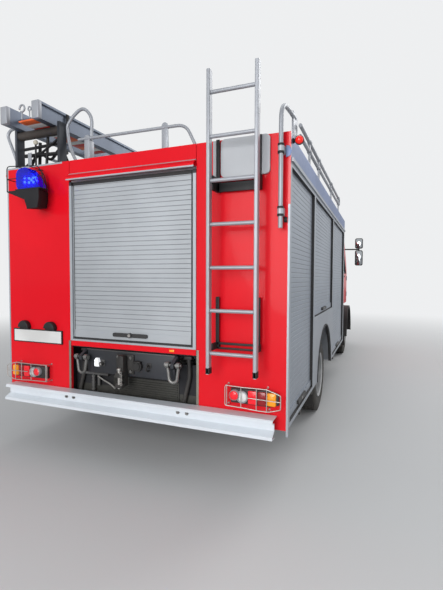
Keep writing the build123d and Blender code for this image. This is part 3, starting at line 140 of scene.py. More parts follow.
PALE_METAL = Finish("pale_metal", (0.380, 0.402, 0.432), 0.42, metallic=0.25, grain=Grain.BRUSHED_Z,
                    pitch=0.0009, relief=0.00003, patch=0.04, dust=0.12)
LADDER_METAL = replace(PALE_METAL, name="ladder_metal", colour=(0.325, 0.340, 0.372), metallic=0.30,
                       patch=0.06, dust=0.10)
SHUTTER = Finish("shutter_silver", (0.375, 0.397, 0.422), 0.46, metallic=0.22, grain=Grain.BRUSHED_X,
                 pitch=0.0012, relief=0.00003, patch=0.05, dust=0.12)
# The side shutters' aluminium as a darker, bluer copy of the rear shutter's: painted shade and a painted sky
# reflection.
SIDE_SHUTTER_SHADED = Finish("side_shutter_painted_shade", (0.310, 0.345, 0.400), 0.44, metallic=0.50,
                      grain=Grain.BRUSHED_Y, pitch=0.0012, relief=0.00003, patch=0.02, dust=0.15)
# Darker stripes over the slats' grooves: painted shade in the grooves, on the same aluminium as the slats.
SLAT_GROOVE_SHADE = Finish("slat_groove_painted_shade", (0.285, 0.300, 0.318), 0.55, metallic=0.3, patch=0.08, dust=0.15)
# The side shutters' groove shade, painted darker still for the shaded side.
SIDE_SLAT_GROOVE_SHADE = replace(SLAT_GROOVE_SHADE, name="side_groove_painted_shade", colour=(0.235, 0.255, 0.285))
CHASSIS = Finish("chassis_black", (0.016, 0.016, 0.018), 0.50, grain=Grain.PEEL, pitch=0.010,
                 relief=0.0001, patch=0.20, dust=0.16, specular=0.25)
RECESS = Finish("recess_black", (0.013, 0.014, 0.018), 0.60, grain=Grain.CAST, pitch=0.008, patch=0.20,
                dust=0.05, specular=0.18)
RIBBED = Finish("ribbed_grey", (0.025, 0.026, 0.024), 0.62, grain=Grain.CAST, pitch=0.006, patch=0.20,
                dust=0.10, specular=0.25)
BLACK = Finish("black_plastic", (0.014, 0.014, 0.016), 0.50, grain=Grain.PEBBLE, pitch=0.0030,
               relief=0.0001, patch=0.12, dust=0.10, specular=0.28)
# Black rubber of the seals, also used as painted shade on the side frames' flanks.
BLACK_SEAL_AND_SHADE = Finish("black_seal", (0.011, 0.011, 0.013), 0.62, patch=0.12, dust=0.08, specular=0.22)
GREY = Finish("grey_plastic", (0.105, 0.108, 0.115), 0.60, grain=Grain.PEBBLE, pitch=0.0025,
              relief=0.0001, patch=0.10, dust=0.10, specular=0.3)
DARK_METAL = Finish("dark_metal", (0.060, 0.066, 0.078), 0.48, metallic=0.5, grain=Grain.CAST,
                    pitch=0.005, relief=0.0001, patch=0.20, dust=0.10, specular=0.3)
ROLLER = Finish("roller_rubber", (0.050, 0.042, 0.038), 0.60, grain=Grain.PEBBLE, pitch=0.003,
                relief=0.0001, patch=0.15, dust=0.05, specular=0.25)
ROOF_RAIL = Finish("roof_ladder_metal", (0.160, 0.185, 0.235), 0.42, metallic=0.65, grain=Grain.BRUSHED_Y,
                   pitch=0.0009, relief=0.00003, patch=0.10, dust=0.05)
BEAM = Finish("beam_paint", (0.026, 0.029, 0.037), 0.50, grain=Grain.CAST, pitch=0.010, patch=0.22, dust=0.05,
              specular=0.3)
JAMB = Finish("jamb_metal", (0.200, 0.190, 0.160), 0.50, metallic=0.5, patch=0.12, dust=0.15)
CASTING = Finish("engine_metal", (0.085, 0.088, 0.095), 0.62, metallic=0.5, grain=Grain.CAST,
                 pitch=0.006, relief=0.0004, patch=0.25, dust=0.25)
STEEL = Finish("steel", (0.210, 0.208, 0.205), 0.44, metallic=0.75, grain=Grain.CAST,
               relief=0.00015, patch=0.20, dust=0.15)
ZINC = Finish("zinc_wire", (0.420, 0.405, 0.385), 0.40, metallic=0.60, patch=0.12, dust=0.08)
RUBBER = Finish("tyre_rubber", (0.016, 0.016, 0.017), 0.72, grain=Grain.PEBBLE, pitch=0.0020,
                relief=0.0001, patch=0.20, dust=0.14, specular=0.3)
RIM = Finish("rim_paint", (0.440, 0.450, 0.465), 0.40, metallic=0.45, grain=Grain.PEEL,
             relief=0.00005, patch=0.12, dust=0.22)
TREADPLATE = Finish("tread_plate", (0.380, 0.395, 0.410), 0.42, metallic=0.75, grain=Grain.TREAD,
                    pitch=0.045, relief=0.0015, patch=0.08, dust=0.15)
GLASS = Finish("glass", (0.780, 0.860, 0.840), 0.02, patch=0.0, dust=0.0, transmission=1.0)
BLUE_LENS = Finish("blue_lens", (0.001, 0.003, 0.560), 0.10, grain=Grain.RIBS, pitch=0.008,
                   relief=0.0006, patch=0.15, dust=0.0, transmission=0.45, glow=0.16, specular=0.07)
LIT_CELL = Finish("lit_cell", (0.430, 0.740, 1.000), 0.30, patch=0.0, dust=0.0, glow=14.0)
RED_LENS = Finish("red_lens", (0.820, 0.010, 0.022), 0.14, coat=0.4, grain=Grain.RIBS, pitch=0.006,
                  relief=0.0004, dust=0.03, glow=0.06, specular=0.3)
DEEP_RED_LENS = replace(RED_LENS, name="deep_red_lens", colour=(0.260, 0.006, 0.010), dust=0.04, glow=0.0)
BRIGHT_RED_LENS = replace(RED_LENS, name="bright_red_lens", colour=(0.900, 0.018, 0.010), relief=0.0003,
                          patch=0.04, dust=0.02, glow=0.12)
AMBER_LENS = replace(RED_LENS, name="amber_lens", colour=(0.860, 0.310, 0.012), patch=0.10, glow=0.05)
CLEAR_LENS = Finish("clear_lens", (0.740, 0.760, 0.780), 0.08, coat=0.8, grain=Grain.RIBS, pitch=0.005,
                    relief=0.0004, patch=0.04, dust=0.06, transmission=0.75)
CORE = Finish("beacon_core", (0.004, 0.008, 0.450), 0.35, patch=0.0, dust=0.0, glow=0.45, specular=0.2)
REFLECTOR = Finish("lamp_reflector", (0.820, 0.830, 0.840), 0.10, metallic=1.0, patch=0.02, dust=0.02)
FABRIC = Finish("seat_fabric", (0.040, 0.046, 0.060), 0.90, grain=Grain.WEAVE, pitch=0.0035,
                relief=0.0004, patch=0.15, dust=0.05)
MIRROR = Finish("mirror_glass", (0.42, 0.44, 0.46), 0.03, metallic=1.0, patch=0.0, dust=0.03)
LIT_WHITE = Finish("lit_white", (0.900, 0.920, 0.950), 0.30, patch=0.0, dust=0.0, glow=0.55)
BAND_RED = Finish("band_red", (0.560, 0.030, 0.020), 0.45, dust=0.05)
CREAM = Finish("cream_plastic", (0.580, 0.540, 0.440), 0.55, grain=Grain.PEEL,
               relief=0.0001, patch=0.10, dust=0.15)
BAND_WHITE = Finish("band_white", (0.700, 0.700, 0.690), 0.42, grain=Grain.PEEL,
                    relief=0.00005, patch=0.08, dust=0.15)
BAND_ORANGE = replace(BAND_WHITE, name="band_orange", colour=(0.820, 0.130, 0.020), roughness=0.40)


@dataclass(frozen=True)
class Zone:
    """A part of a piece that shows another finish.

    Each limit is a pair in metres. A mirrored zone reads the distance from the middle plane as its
    x. Every is the first height, the pitch and the half width of level stripes, and rake is how
    far a zone leans back for each metre above the waist.
    """

    finish: Finish
    x: Span = None
    y: Span = None
    z: Span = None
    mirrored: bool = True
    every: tuple[float, float, float] | None = None
    rake: float = 0.0


def window_rim(y: tuple[float, float], rake: float) -> tuple[Zone, ...]:
    """The black rubber round a door's window, then its handle and its grey inside."""
    sill, head = WINDOW_Z
    return (Zone(BLACK_SEAL_AND_SHADE, y=(y[0] - RUBBER_WIDTH, y[1] + RUBBER_WIDTH), rake=rake,
                 z=(sill - RUBBER_WIDTH, head + RUBBER_WIDTH)),
            Zone(BLACK, x=(DOOR_SKIN_X, ANY), z=HANDLE_Z),
            Zone(GREY, x=(0.0, DOOR_LINING_X), z=(0.0, WAIST_Z - RUBBER_WIDTH)))


# Stripes of painted groove shade: first height, pitch and half width on the rear shutter, the side shutters
# and the shutters over the arches.
REAR_GROOVES = (1.020, 1.195 / 34, 0.0026)
SIDE_GROOVES = (0.530, 1.660 / 47, 0.0022)
ARCH_GROOVES = (1.150, 1.040 / 30, 0.0022)
FRONT_WINDOW = (2.420, 3.090)
REAR_WINDOW = (1.370, 2.140)

NODE_ZONES = {
    "rear_shutter": (
        Zone(SHUTTER, x=(-0.5188, 0.5358), z=(0.9602, ANY), mirrored=False),
        # Painted shade along the rear shutter's slat grooves.
        Zone(SLAT_GROOVE_SHADE, x=(-0.5188, 0.5358), z=(1.030, 2.190), mirrored=False, every=REAR_GROOVES),
        Zone(BLACK_SEAL_AND_SHADE, x=(-0.5298, -0.5188), y=(REAR_Y + 0.0092, ANY), z=(0.9422, ANY), mirrored=False),
        Zone(BLACK_SEAL_AND_SHADE, x=(0.5358, 0.5468), y=(REAR_Y + 0.0092, ANY), z=(0.9422, ANY), mirrored=False),
        Zone(BLACK_SEAL_AND_SHADE, x=(-0.5368, 0.5538), y=(REAR_Y + 0.0092, ANY), z=(0.9422, 0.9602), mirrored=False),
        Zone(BLACK_SEAL_AND_SHADE, z=(2.186, ANY)),
        Zone(BLACK, x=(-0.145, 0.181), y=(-ANY, REAR_Y + 0.0016), z=(0.975, 1.030), mirrored=False),
    ),
    "side_shutters": (
        # Painted shade along the side shutters' slat grooves.
        Zone(SIDE_SLAT_GROOVE_SHADE, y=(-ANY, -2.26), z=(0.540, ANY), every=SIDE_GROOVES),
        Zone(SIDE_SLAT_GROOVE_SHADE, y=(-2.25, -0.76), z=(1.160, ANY), every=ARCH_GROOVES),
        Zone(SIDE_SLAT_GROOVE_SHADE, y=(-0.75, ANY), z=(0.540, ANY), every=SIDE_GROOVES),
        Zone(BLACK, x=(1.2335, ANY)),
        Zone(BLACK_SEAL_AND_SHADE, z=(0.0, 0.478)),
        Zone(BLACK_SEAL_AND_SHADE, y=(-2.25, -0.76), z=(0.0, 1.098)),
    ),
    "side_frames": (
        # Black on the frames' flanks and inner faces is painted shade on the posts between the shutters.
        Zone(BLACK_SEAL_AND_SHADE, x=(0.0, 1.2489), y=(REAR_Y + 0.026, ANY)),
        Zone(BLACK_SEAL_AND_SHADE, x=(1.2504, ANY), z=(0.0, 1.100)),
        Zone(RED, x=(1.2300, ANY), y=(-ANY, REAR_Y + 0.012), z=(1.925, ANY), mirrored=False),
    ),
    "rear_bumper": (Zone(CHASSIS, y=(REAR_Y + 0.0050, ANY)),),
    "rear_panels": (
        Zone(PALE_METAL, y=(-ANY, REAR_Y - 0.0362), z=(2.2215, 2.2325)),
        Zone(PALE_METAL, y=(-ANY, REAR_Y - 0.0010), z=(2.2735, 2.2860)),
        Zone(BLACK_SEAL_AND_SHADE, y=(REAR_Y - 0.0376, REAR_Y - 0.0005), z=(2.2000, 2.2442)),
        Zone(PALE_METAL, x=(-ANY, -0.6350), z=(2.3760, ANY), mirrored=False),
    ),
    "body_roof": (Zone(TREADPLATE, z=(2.3892, ANY)),),
    "blank_boards": (
        Zone(BLACK_SEAL_AND_SHADE, x=(-ANY, -0.6), mirrored=False),
        Zone(BAND_WHITE, x=(-1.178, -0.654), z=(0.894, 0.992), mirrored=False),
    ),
    "cab_shell": (
        Zone(BLACK_SEAL_AND_SHADE, x=(0.0, 0.926), y=(3.0, ANY), z=(1.574, 2.306)),
        Zone(BLACK_SEAL_AND_SHADE, x=(0.0, 0.646), y=(-ANY, 0.960), z=(1.624, 2.176)),
        Zone(GREY, x=(0.0, 1.000), y=(0.952, 3.100), z=(0.980, 2.4055)),
        Zone(GREY, x=(0.0, 1.068), y=(0.952, 3.395), z=(0.980, WAIST_Z)),
        Zone(CHASSIS, z=(0.0, 0.9402)),
    ),
    "cab_door_front_left": window_rim(FRONT_WINDOW, SCREEN_RAKE),
    "cab_door_front_right": window_rim(FRONT_WINDOW, SCREEN_RAKE),
    "cab_door_rear_left": window_rim(REAR_WINDOW, 0.0),
    "cab_door_rear_right": window_rim(REAR_WINDOW, 0.0),
    "front_bumper": (Zone(BLACK, z=(0.0, 0.500)), Zone(BLACK, y=(-ANY, 3.470), x=(0.0, 1.030)),
                     Zone(BLACK, x=(0.0, 0.5605), z=(0.5595, 0.7005))),
    "cab_steps": (Zone(TREADPLATE, z=(0.4796, 0.4804)), Zone(TREADPLATE, z=(0.7196, 0.7204))),
    "dashboard": (Zone(BLACK, x=(-0.920, -0.440), y=(-ANY, 3.050), mirrored=False),),
    "chassis_tanks": (Zone(ANODISED, x=(-ANY, -0.440), mirrored=False),),
    "mast_head": (Zone(GREY, z=(2.594, ANY)),),
    "ladder_gantry": (Zone(ROLLER, x=(0.6921, 1.1379), z=(2.6315, 2.7045)),),
}

NODES_BY_FINISH = (
    # The roof's fascia carries the painted blue sky reflection.
    (FASCIA_SKY_REFLECTION, ("body_roof",)),
    (RED, ("rear_panels", "cab_shell", "cab_door_front_left", "cab_door_front_right", "cab_door_rear_left",
           "cab_door_rear_right")),
    (WHITE, ("rear_bumper", "front_bumper")),
    (ANODISED, ("body_walls", "side_frames", "body_floor", "mast_base", "mast_stage_1", "mast_stage_2")),
    (LADDER_METAL, ("rear_ladder",)),
    (ROOF_RAIL, ("roof_ladder",)),
    (DARK_METAL, ("ladder_gantry",)),
    # The side shutters carry the painted shade and the painted sky reflection.
    (SIDE_SHUTTER_SHADED, ("side_shutters",)),
    (PALE_METAL, ("rear_shutter",)),
    (CHASSIS, ("chassis_frame", "leaf_springs", "rear_axle", "front_axle", "rear_brackets", "chassis_tanks")),
    (RECESS, ("tow_recess",)),
    (BLACK, ("front_mudguards", "cab_steps", "grille", "mirrors", "mast_head")),
    (GREY, ("dashboard",)),
    (CASTING, ("driveline",)),
    (STEEL, ("steering_knuckle_left", "steering_knuckle_right", "track_rod")),
    (RIM, ("front_rim_left", "front_rim_right", "rear_rims_left", "rear_rims_right")),
    (GLASS, ("cab_glass", "door_glass_front_left", "door_glass_front_right", "door_glass_rear_left",
             "door_glass_rear_right")),
    (BOARD, ("blank_boards",)),
)


class Signal:
    """An output socket of a shader tree that turns arithmetic into Math nodes."""

    def __init__(self, shader: Shader, socket: NodeSocket) -> None:
        """Wraps one socket of a shader."""
        self.shader = shader
        self.socket = socket

    def _math(self, operation: str, first: object, second: object) -> Signal:
        """Adds one Math node and returns its value."""
        return self.shader.node("ShaderNodeMath", {"operation": operation}, {0: first, 1: second})

    def __add__(self, other: object) -> Signal:
        """self + other."""
        return self._math("ADD", self, other)

    def __radd__(self, other: object) -> Signal:
        """other + self."""
        return self._math("ADD", other, self)

    def __sub__(self, other: object) -> Signal:
        """self - other."""
        return self._math("SUBTRACT", self, other)

    def __rsub__(self, other: object) -> Signal:
        """other - self."""
        return self._math("SUBTRACT", other, self)

    def __mul__(self, other: object) -> Signal:
        """self * other."""
        return self._math("MULTIPLY", self, other)

    def __rmul__(self, other: object) -> Signal:
        """other * self."""
        return self._math("MULTIPLY", other, self)

    def __abs__(self) -> Signal:
        """The size of self without its sign."""
        return self._math("ABSOLUTE", self, 0.0)

    def above(self, limit: float) -> Signal:
        """1 where self is over a limit."""
        return self._math("GREATER_THAN", self, limit)

    def below(self, limit: float) -> Signal:
        """1 where self is under a limit."""
        return self._math("LESS_THAN", self, limit)

    def at_least(self, low: float) -> Signal:
        """self, or low where that is more."""
        return self._math("MAXIMUM", self, low)

    def rest(self) -> Signal:
        """What is left of self over its whole number."""
        return self._math("FRACT", self, 0.0)

    def clamped(self) -> Signal:
        """self kept between 0 and 1."""
        return self.shader.node("ShaderNodeClamp", {}, {"Value": self})

    def between(self, low: float, high: float) -> Signal:
        """0 at low, 1 at high, and smooth between."""
        settings = {"interpolation_type": "SMOOTHSTEP"}
        sockets = {"Value": self, "From Min": low, "From Max": high}
        return self.shader.node("ShaderNodeMapRange", settings, sockets)


class Shader:
    """The node tree of one material."""

    def __init__(self, name: str) -> None:
        """Starts an empty material with an output and a Principled shader."""
        self.material = bpy.data.materials.new(name)
        self.material.use_nodes = True
        self.tree = self.material.node_tree
        self.tree.nodes.clear()
        self.output = self.tree.nodes.new("ShaderNodeOutputMaterial")
        self.skin = self.tree.nodes.new("ShaderNodeBsdfPrincipled")
        self.tree.links.new(self.skin.outputs["BSDF"], self.output.inputs["Surface"])

    def node(self, kind: str, settings: dict, sockets: dict, out: int | str = 0) -> Signal:
        """Adds a node.

        Args:
            kind: The node's type name.
            settings: Attributes set first; "stops" is a colour ramp's list of (place, colour).
            sockets: Values or signals by the input's name or index.
            out: Which output to return.

        Returns:
            The chosen output.
        """
        made = self.tree.nodes.new(kind)
        for key, value in settings.items():
            if key == "stops":
                while len(made.color_ramp.elements) < len(value):
                    made.color_ramp.elements.new(1.0)
                for element, (place, colour) in zip(made.color_ramp.elements, value):
                    element.position = place
                    element.color = (*colour, 1.0)
            else:
                setattr(made, key, value)
        for key, value in sockets.items():
            self.feed(made.inputs[key], value)
        return Signal(self, made.outputs[out])

    def feed(self, socket: NodeSocket, value: object) -> None:
        """Sets a socket to a value, or links a signal to it."""
        if isinstance(value, Signal):
            self.tree.links.new(value.socket, socket)
        elif isinstance(value, tuple) and len(value) == 3 and socket.type == "RGBA":
            socket.default_value = (*value, 1.0)
        else:
            socket.default_value = value

    def place(self) -> Signal:
        """The point on the object, in metres."""
        return self.node("ShaderNodeTexCoord", {}, {}, "Object")

    def stretched(self, scale: Point) -> Signal:
        """The point on the object, scaled along each axis."""
        return self.node("ShaderNodeMapping", {}, {"Vector": self.place(), "Scale": scale})

    def noise(self, scale: float, detail: float = 2.0, stretch: Point = (1.0, 1.0, 1.0)) -> Signal:
        """A noise value between 0 and 1."""
        sockets = {"Vector": self.stretched(stretch), "Scale": scale, "Detail": detail}
        return self.node("ShaderNodeTexNoise", {}, sockets)

    def mix(self, factor: object, first: object, second: object) -> Signal:
        """A colour between two colours."""
        return self.node("ShaderNodeMix", {"data_type": "RGBA"}, {0: factor, 6: first, 7: second}, 2)

    def axes(self) -> tuple[Signal, Signal, Signal]:
        """The three coordinates of the point, in metres."""
        split = self.node("ShaderNodeSeparateXYZ", {}, {0: self.place()})
        x, y, z = (Signal(self, socket) for socket in split.socket.node.outputs)
        return x, y, z

    def mask(self, zone: Zone) -> Signal:
        """1 inside a zone and 0 outside it."""
        x, y, z = self.axes()
        if zone.mirrored:
            x = abs(x)
        if zone.rake:
            y = y + (z - WAIST_Z).at_least(0.0) * zone.rake
        inside: Signal | None = None
        for along, span in ((x, zone.x), (y, zone.y), (z, zone.z)):
            if span is not None:
                for test in (along.above(span[0]), along.below(span[1])):
                    inside = test if inside is None else inside * test
        if zone.every:
            first, pitch, half = zone.every
            off = abs(((z - (first - pitch / 2)) * (1.0 / pitch)).rest() - 0.5)
            inside = inside * off.below(half / pitch)
        return inside

    def bump(self, height: Signal) -> None:
        """Feeds a relief in metres to the skin's normal."""
        relief = self.node("ShaderNodeBump", {}, {"Height": height, "Distance": 1.0})
        self.feed(self.skin.inputs["Normal"], relief)


DUST: Colour = (0.330, 0.300, 0.255)
DUST_HEIGHTS = (1.25, 0.15)
PATCH_DARKER, PATCH_LIGHTER = 2.2, 1.2
WANDER_SCALE, FLECK_SCALE = 1.7, 23.0
COAT_ROUGHNESS = 0.06
WEAVE_SHARE = 0.30
BRUSH_STRETCH = {
    Grain.BRUSHED_X: (0.02, 1.0, 1.0),
    Grain.BRUSHED_Y: (1.0, 0.02, 1.0),
    Grain.BRUSHED_Z: (1.0, 1.0, 0.02),
}


class Dresser:
    """Makes each finish's material once and puts it on the pieces."""

    def __init__(self) -> None:
        """Starts with no materials made."""
        self.made: dict[str, Material] = {}

    def material(self, finish: Finish) -> Material:
        """The material of a finish, made the first time it is asked for."""
        if finish.name not in self.made:
            self.made[finish.name] = self._build(finish, finish.name)
        return self.made[finish.name]

    def _look(self, shader: Shader, finish: Finish, wander: Signal, fleck: Signal) -> tuple[Signal, Signal]:
        """The colour and the roughness of one finish, with its patches and dust."""
        dark = tuple(c * (1.0 - PATCH_DARKER * finish.patch) for c in finish.colour)
        light = tuple(min(1.0, c * (1.0 + PATCH_LIGHTER * finish.patch)) for c in finish.colour)
        colour = shader.mix(wander.between(0.30, 0.70), dark, light)
        low = shader.axes()[2].between(*DUST_HEIGHTS)
        dirt = (low * finish.dust * (0.35 + fleck) + 0.10 * finish.dust * wander).clamped()
        rough = (finish.roughness * (0.85 + 0.30 * fleck) + 0.40 * dirt).clamped()
        return shader.mix(dirt, colour, DUST), rough

    def _build(self, finish: Finish, name: str, zones: tuple[Zone, ...] = ()) -> Material:
        """Writes the node tree of a finish and of the zones that lie over it."""
        shader = Shader(name)
        skin = shader.skin.inputs
        wander, fleck = shader.noise(WANDER_SCALE, 4.0), shader.noise(FLECK_SCALE, 3.0)
        colour, rough = self._look(shader, finish, wander, fleck)
        metallic: object = finish.metallic
        coat: object = finish.coat
        height = self._relief(shader, finish)
        for zone in zones:
            inside = shader.mask(zone)
            other, other_rough = self._look(shader, zone.finish, wander, fleck)
            colour = shader.mix(inside, colour, other)
            rough = rough + inside * (other_rough - rough)
            if isinstance(metallic, Signal) or metallic != zone.finish.metallic:
                metallic = metallic + inside * (zone.finish.metallic - metallic)
            if isinstance(coat, Signal) or coat != zone.finish.coat:
                coat = coat + inside * (zone.finish.coat - coat)
            if zone.finish.grain is Grain.TREAD:
                height = height + inside * (self._relief(shader, zone.finish) - height)
        shader.feed(skin["Base Color"], colour)
        shader.feed(skin["Roughness"], rough)
        shader.feed(skin["Metallic"], metallic)
        shader.feed(skin["Coat Weight"], coat)
        skin["Coat Roughness"].default_value = COAT_ROUGHNESS
        skin["Transmission Weight"].default_value = finish.transmission
        skin["Specular IOR Level"].default_value = finish.specular
        if finish.glow:
            shader.feed(skin["Emission Color"], finish.colour)
            skin["Emission Strength"].default_value = finish.glow
        if height is not None:
            shader.bump(height)
        return shader.material

    def _relief(self, shader: Shader, finish: Finish) -> Signal | None:
        """The height of a finish's grain, in metres."""
        scale = 1.0 / finish.pitch
        if finish.grain is Grain.SMOOTH:
            return None
        if finish.grain in BRUSH_STRETCH:
            height = shader.noise(scale, 2.0, BRUSH_STRETCH[finish.grain])
        elif finish.grain is Grain.PEBBLE:
            sockets = {"Vector": shader.place(), "Scale": scale}
            height = shader.node("ShaderNodeTexVoronoi", {}, sockets, "Distance")
        elif finish.grain is Grain.WEAVE:
            warp, weft = (
                shader.node("ShaderNodeTexWave", {"bands_direction": way},
                            {"Vector": shader.place(), "Scale": scale * WEAVE_SHARE}) for way in "XZ")
            height = warp * weft
        elif finish.grain is Grain.TREAD:
            height = self._tread(shader, scale)
        elif finish.grain is Grain.RIBS:
            height = abs((shader.axes()[0] * scale).rest() - 0.5)
        else:
            height = shader.noise(scale, 3.0)
        return height * finish.relief

    def _tread(self, shader: Shader, scale: float) -> Signal:
        """Short raised bars laid crosswise in turn, for a walk-on plate."""
        x, y, _ = shader.axes()
        u, v = (x + y) * scale, (x - y) * scale
        in_u, in_v = abs(u.rest() - 0.5), abs(v.rest() - 0.5)
        turn = ((u - u.rest() + v - v.rest()) * 0.5).rest() * 2.0
        one = in_u.between(0.16, 0.08) * in_v.between(0.44, 0.34)
        other = in_v.between(0.16, 0.08) * in_u.between(0.44, 0.34)
        return turn * one + (1.0 - turn) * other

    def dress(self, piece: Object, finish: Finish) -> None:
        """Puts a finish on every slot of a piece."""
        material = self.material(finish)
        if not piece.material_slots:
            piece.data.materials.append(material)
        for slot in piece.material_slots:
            slot.material = material

    def dress_nodes(self) -> None:
        """Puts the finishes on the carried-over nodes."""
        for finish, names in NODES_BY_FINISH:
            for name in names:
                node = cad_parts[name]
                self.dress(node, finish)
                if name in NODE_ZONES:
                    zoned = self._build(finish, f"{finish.name}_{name}", NODE_ZONES[name])
                    for slot in node.material_slots:
                        slot.material = zoned


def placed(name: str, data: ID) -> Object:
    """A new object of the scene, at the origin."""
    piece = bpy.data.objects.new(name, data)
    bpy.context.scene.collection.objects.link(piece)
    return piece


class Mesh:
    """A mesh being made from points, faces, boxes, rods and turned outlines."""

    def __init__(self) -> None:
        """Starts empty."""
        self.form = bmesh.new()

    def box(self, low: Point, high: Point, bevel: float = 0.0) -> Mesh:
        """Adds a box between two corners, with its edges rounded by bevel."""
        centre = (Vector(low) + Vector(high)) / 2
        size = Vector(high) - Vector(low)
        matrix = Matrix.Translation(centre) @ Matrix.Diagonal((*size, 1.0))
        made = bmesh.ops.create_cube(self.form, size=1.0, matrix=matrix)
        if bevel:
            edges = list(dict.fromkeys(edge for vertex in made["verts"] for edge in vertex.link_edges))
            bmesh.ops.bevel(self.form, geom=edges, offset=bevel, segments=2, affect="EDGES", profile=0.5)
        return self

    def rod(self, start: Point, end: Point, radius: float, sides: int = 16,
            tip: float | None = None) -> Mesh:
        """Adds a closed round bar between two points, tapering to tip where it is given."""
        run = Vector(end) - Vector(start)
        turn = Vector(UP).rotation_difference(run.normalized()).to_matrix().to_4x4()
        matrix = Matrix.Translation((Vector(start) + Vector(end)) / 2) @ turn
        bmesh.ops.create_cone(self.form, cap_ends=True, segments=sides, radius1=radius,
                              radius2=radius if tip is None else tip, depth=run.length, matrix=matrix)
        return self

    def _bridge(self, rings: list[list[bmesh.types.BMVert]], spans: int) -> None:
        """Joins each ring of points to the next with faces, over as many spans as are given."""
        for n in range(spans):
            ring, beyond = rings[n], rings[(n + 1) % len(rings)]
            for k in range(len(ring)):
                j = (k + 1) % len(ring)
                self.form.faces.new((ring[k], ring[j], beyond[j], beyond[k]))

    def turned(self, centre: Point, outline: Outline, sides: int = 48, axis: Point = ACROSS) -> Mesh:
        """Adds a closed outline of (along, radius) points turned about an axis through centre."""
        along = Vector(axis).normalized()
        out = along.orthogonal().normalized()
        rings = []
        for n in range(sides):
            ray = Matrix.Rotation(2 * pi * n / sides, 3, along) @ out
            rings.append([self.form.verts.new(Vector(centre) + along * a + ray * r) for a, r in outline])
        self._bridge(rings, sides)
        return self

    def slab(self, outline: Outline, axis: str, low: float, high: float,
             bevel: float = 0.0, segments: int = 2) -> Mesh:
        """Adds a flat outline given a thickness.

        Args:
            outline: Pairs of the two coordinates across the axis, in x, y, z order.
            axis: The axis the thickness runs along.
            low: Where it starts.
            high: Where it ends.
            bevel: How far the edges of both flat faces are rounded.
            segments: How many steps round them.

        Returns:
            This mesh.
        """
        order = {"x": (2, 0, 1), "y": (0, 2, 1), "z": (0, 1, 2)}[axis]
        return self.lofted([tuple((a, b, low)[k] for k in order) for a, b in outline],
                           [tuple((a, b, high)[k] for k in order) for a, b in outline], bevel, segments)

    def lofted(self, start: list[Point], end: list[Point], bevel: float = 0.0, segments: int = 2) -> Mesh:
        """Adds a closed form between two flat outlines of as many points."""
        near, far = ([self.form.verts.new(point) for point in outline] for outline in (start, end))
        caps = [self.form.faces.new(near), self.form.faces.new(list(reversed(far)))]
        for k in range(len(near)):
            j = (k + 1) % len(near)
            self.form.faces.new((near[k], far[k], far[j], near[j]))
        if bevel:
            edges = list(dict.fromkeys(edge for cap in caps for edge in cap.edges))
            bmesh.ops.bevel(self.form, geom=edges, offset=bevel, segments=segments, affect="EDGES",
                            profile=0.5, clamp_overlap=True)
        return self

    def dome(self, centre: Point, axis: Point, radius: float, height: float, sides: int = 32,
             rings: int = 6) -> Mesh:
        """Adds a closed round lens that stands on its flat back at centre."""
        along = Vector(axis).normalized()
        out = along.orthogonal().normalized()
        levels = []
        for m in range(rings):
            rise, reach = sin(m / rings * pi / 2), cos(m / rings * pi / 2)
            rays = [Matrix.Rotation(2 * pi * n / sides, 3, along) @ out for n in range(sides)]
            levels.append([self.form.verts.new(Vector(centre) + along * height * rise + ray * radius * reach)
                           for ray in rays])
        top = self.form.verts.new(Vector(centre) + along * height)
        for k in range(sides):
            j = (k + 1) % sides
            for lower, upper in zip(levels[:-1], levels[1:]):
                self.form.faces.new((lower[k], lower[j], upper[j], upper[k]))
            self.form.faces.new((levels[-1][k], levels[-1][j], top))
        self.form.faces.new(list(reversed(levels[0])))
        return self

    def tube(self, points: list[Point], radius: float, sides: int = 12, closed: bool = False,
             up: Point | None = None) -> Mesh:
        """Adds a round tube along a smooth run of points, capped unless the run is closed."""
        places = [Vector(p) for p in points]
        last = len(places) - 1
        rings = []
        normal = Vector(up) if up else (places[1] - places[0]).orthogonal().normalized()
        for n, place in enumerate(places):
            after = places[(n + 1) % len(places)] if closed else places[min(n + 1, last)]
            before = places[n - 1] if closed else places[max(n - 1, 0)]
            ahead = (after - before).normalized()
            normal = (normal - ahead * normal.dot(ahead)).normalized()
            other = ahead.cross(normal)
            rings.append([self.form.verts.new(
                place + radius * (cos(2 * pi * k / sides) * normal
                                  + sin(2 * pi * k / sides) * other)) for k in range(sides)])
        self._bridge(rings, len(rings) if closed else last)
        if not closed:
            self.form.faces.new(list(reversed(rings[0])))
            self.form.faces.new(rings[-1])
        return self

    def finish(self, name: str, smooth: float = 0.6) -> Object:
        """Closes the mesh into an object at the origin, shaded smooth below an angle in radians."""
        bmesh.ops.recalc_face_normals(self.form, faces=self.form.faces[:])
        data = bpy.data.meshes.new(name)
        self.form.to_mesh(data)
        self.form.free()
        data.shade_smooth()
        data.set_sharp_from_angle(angle=smooth)
        return placed(name, data)


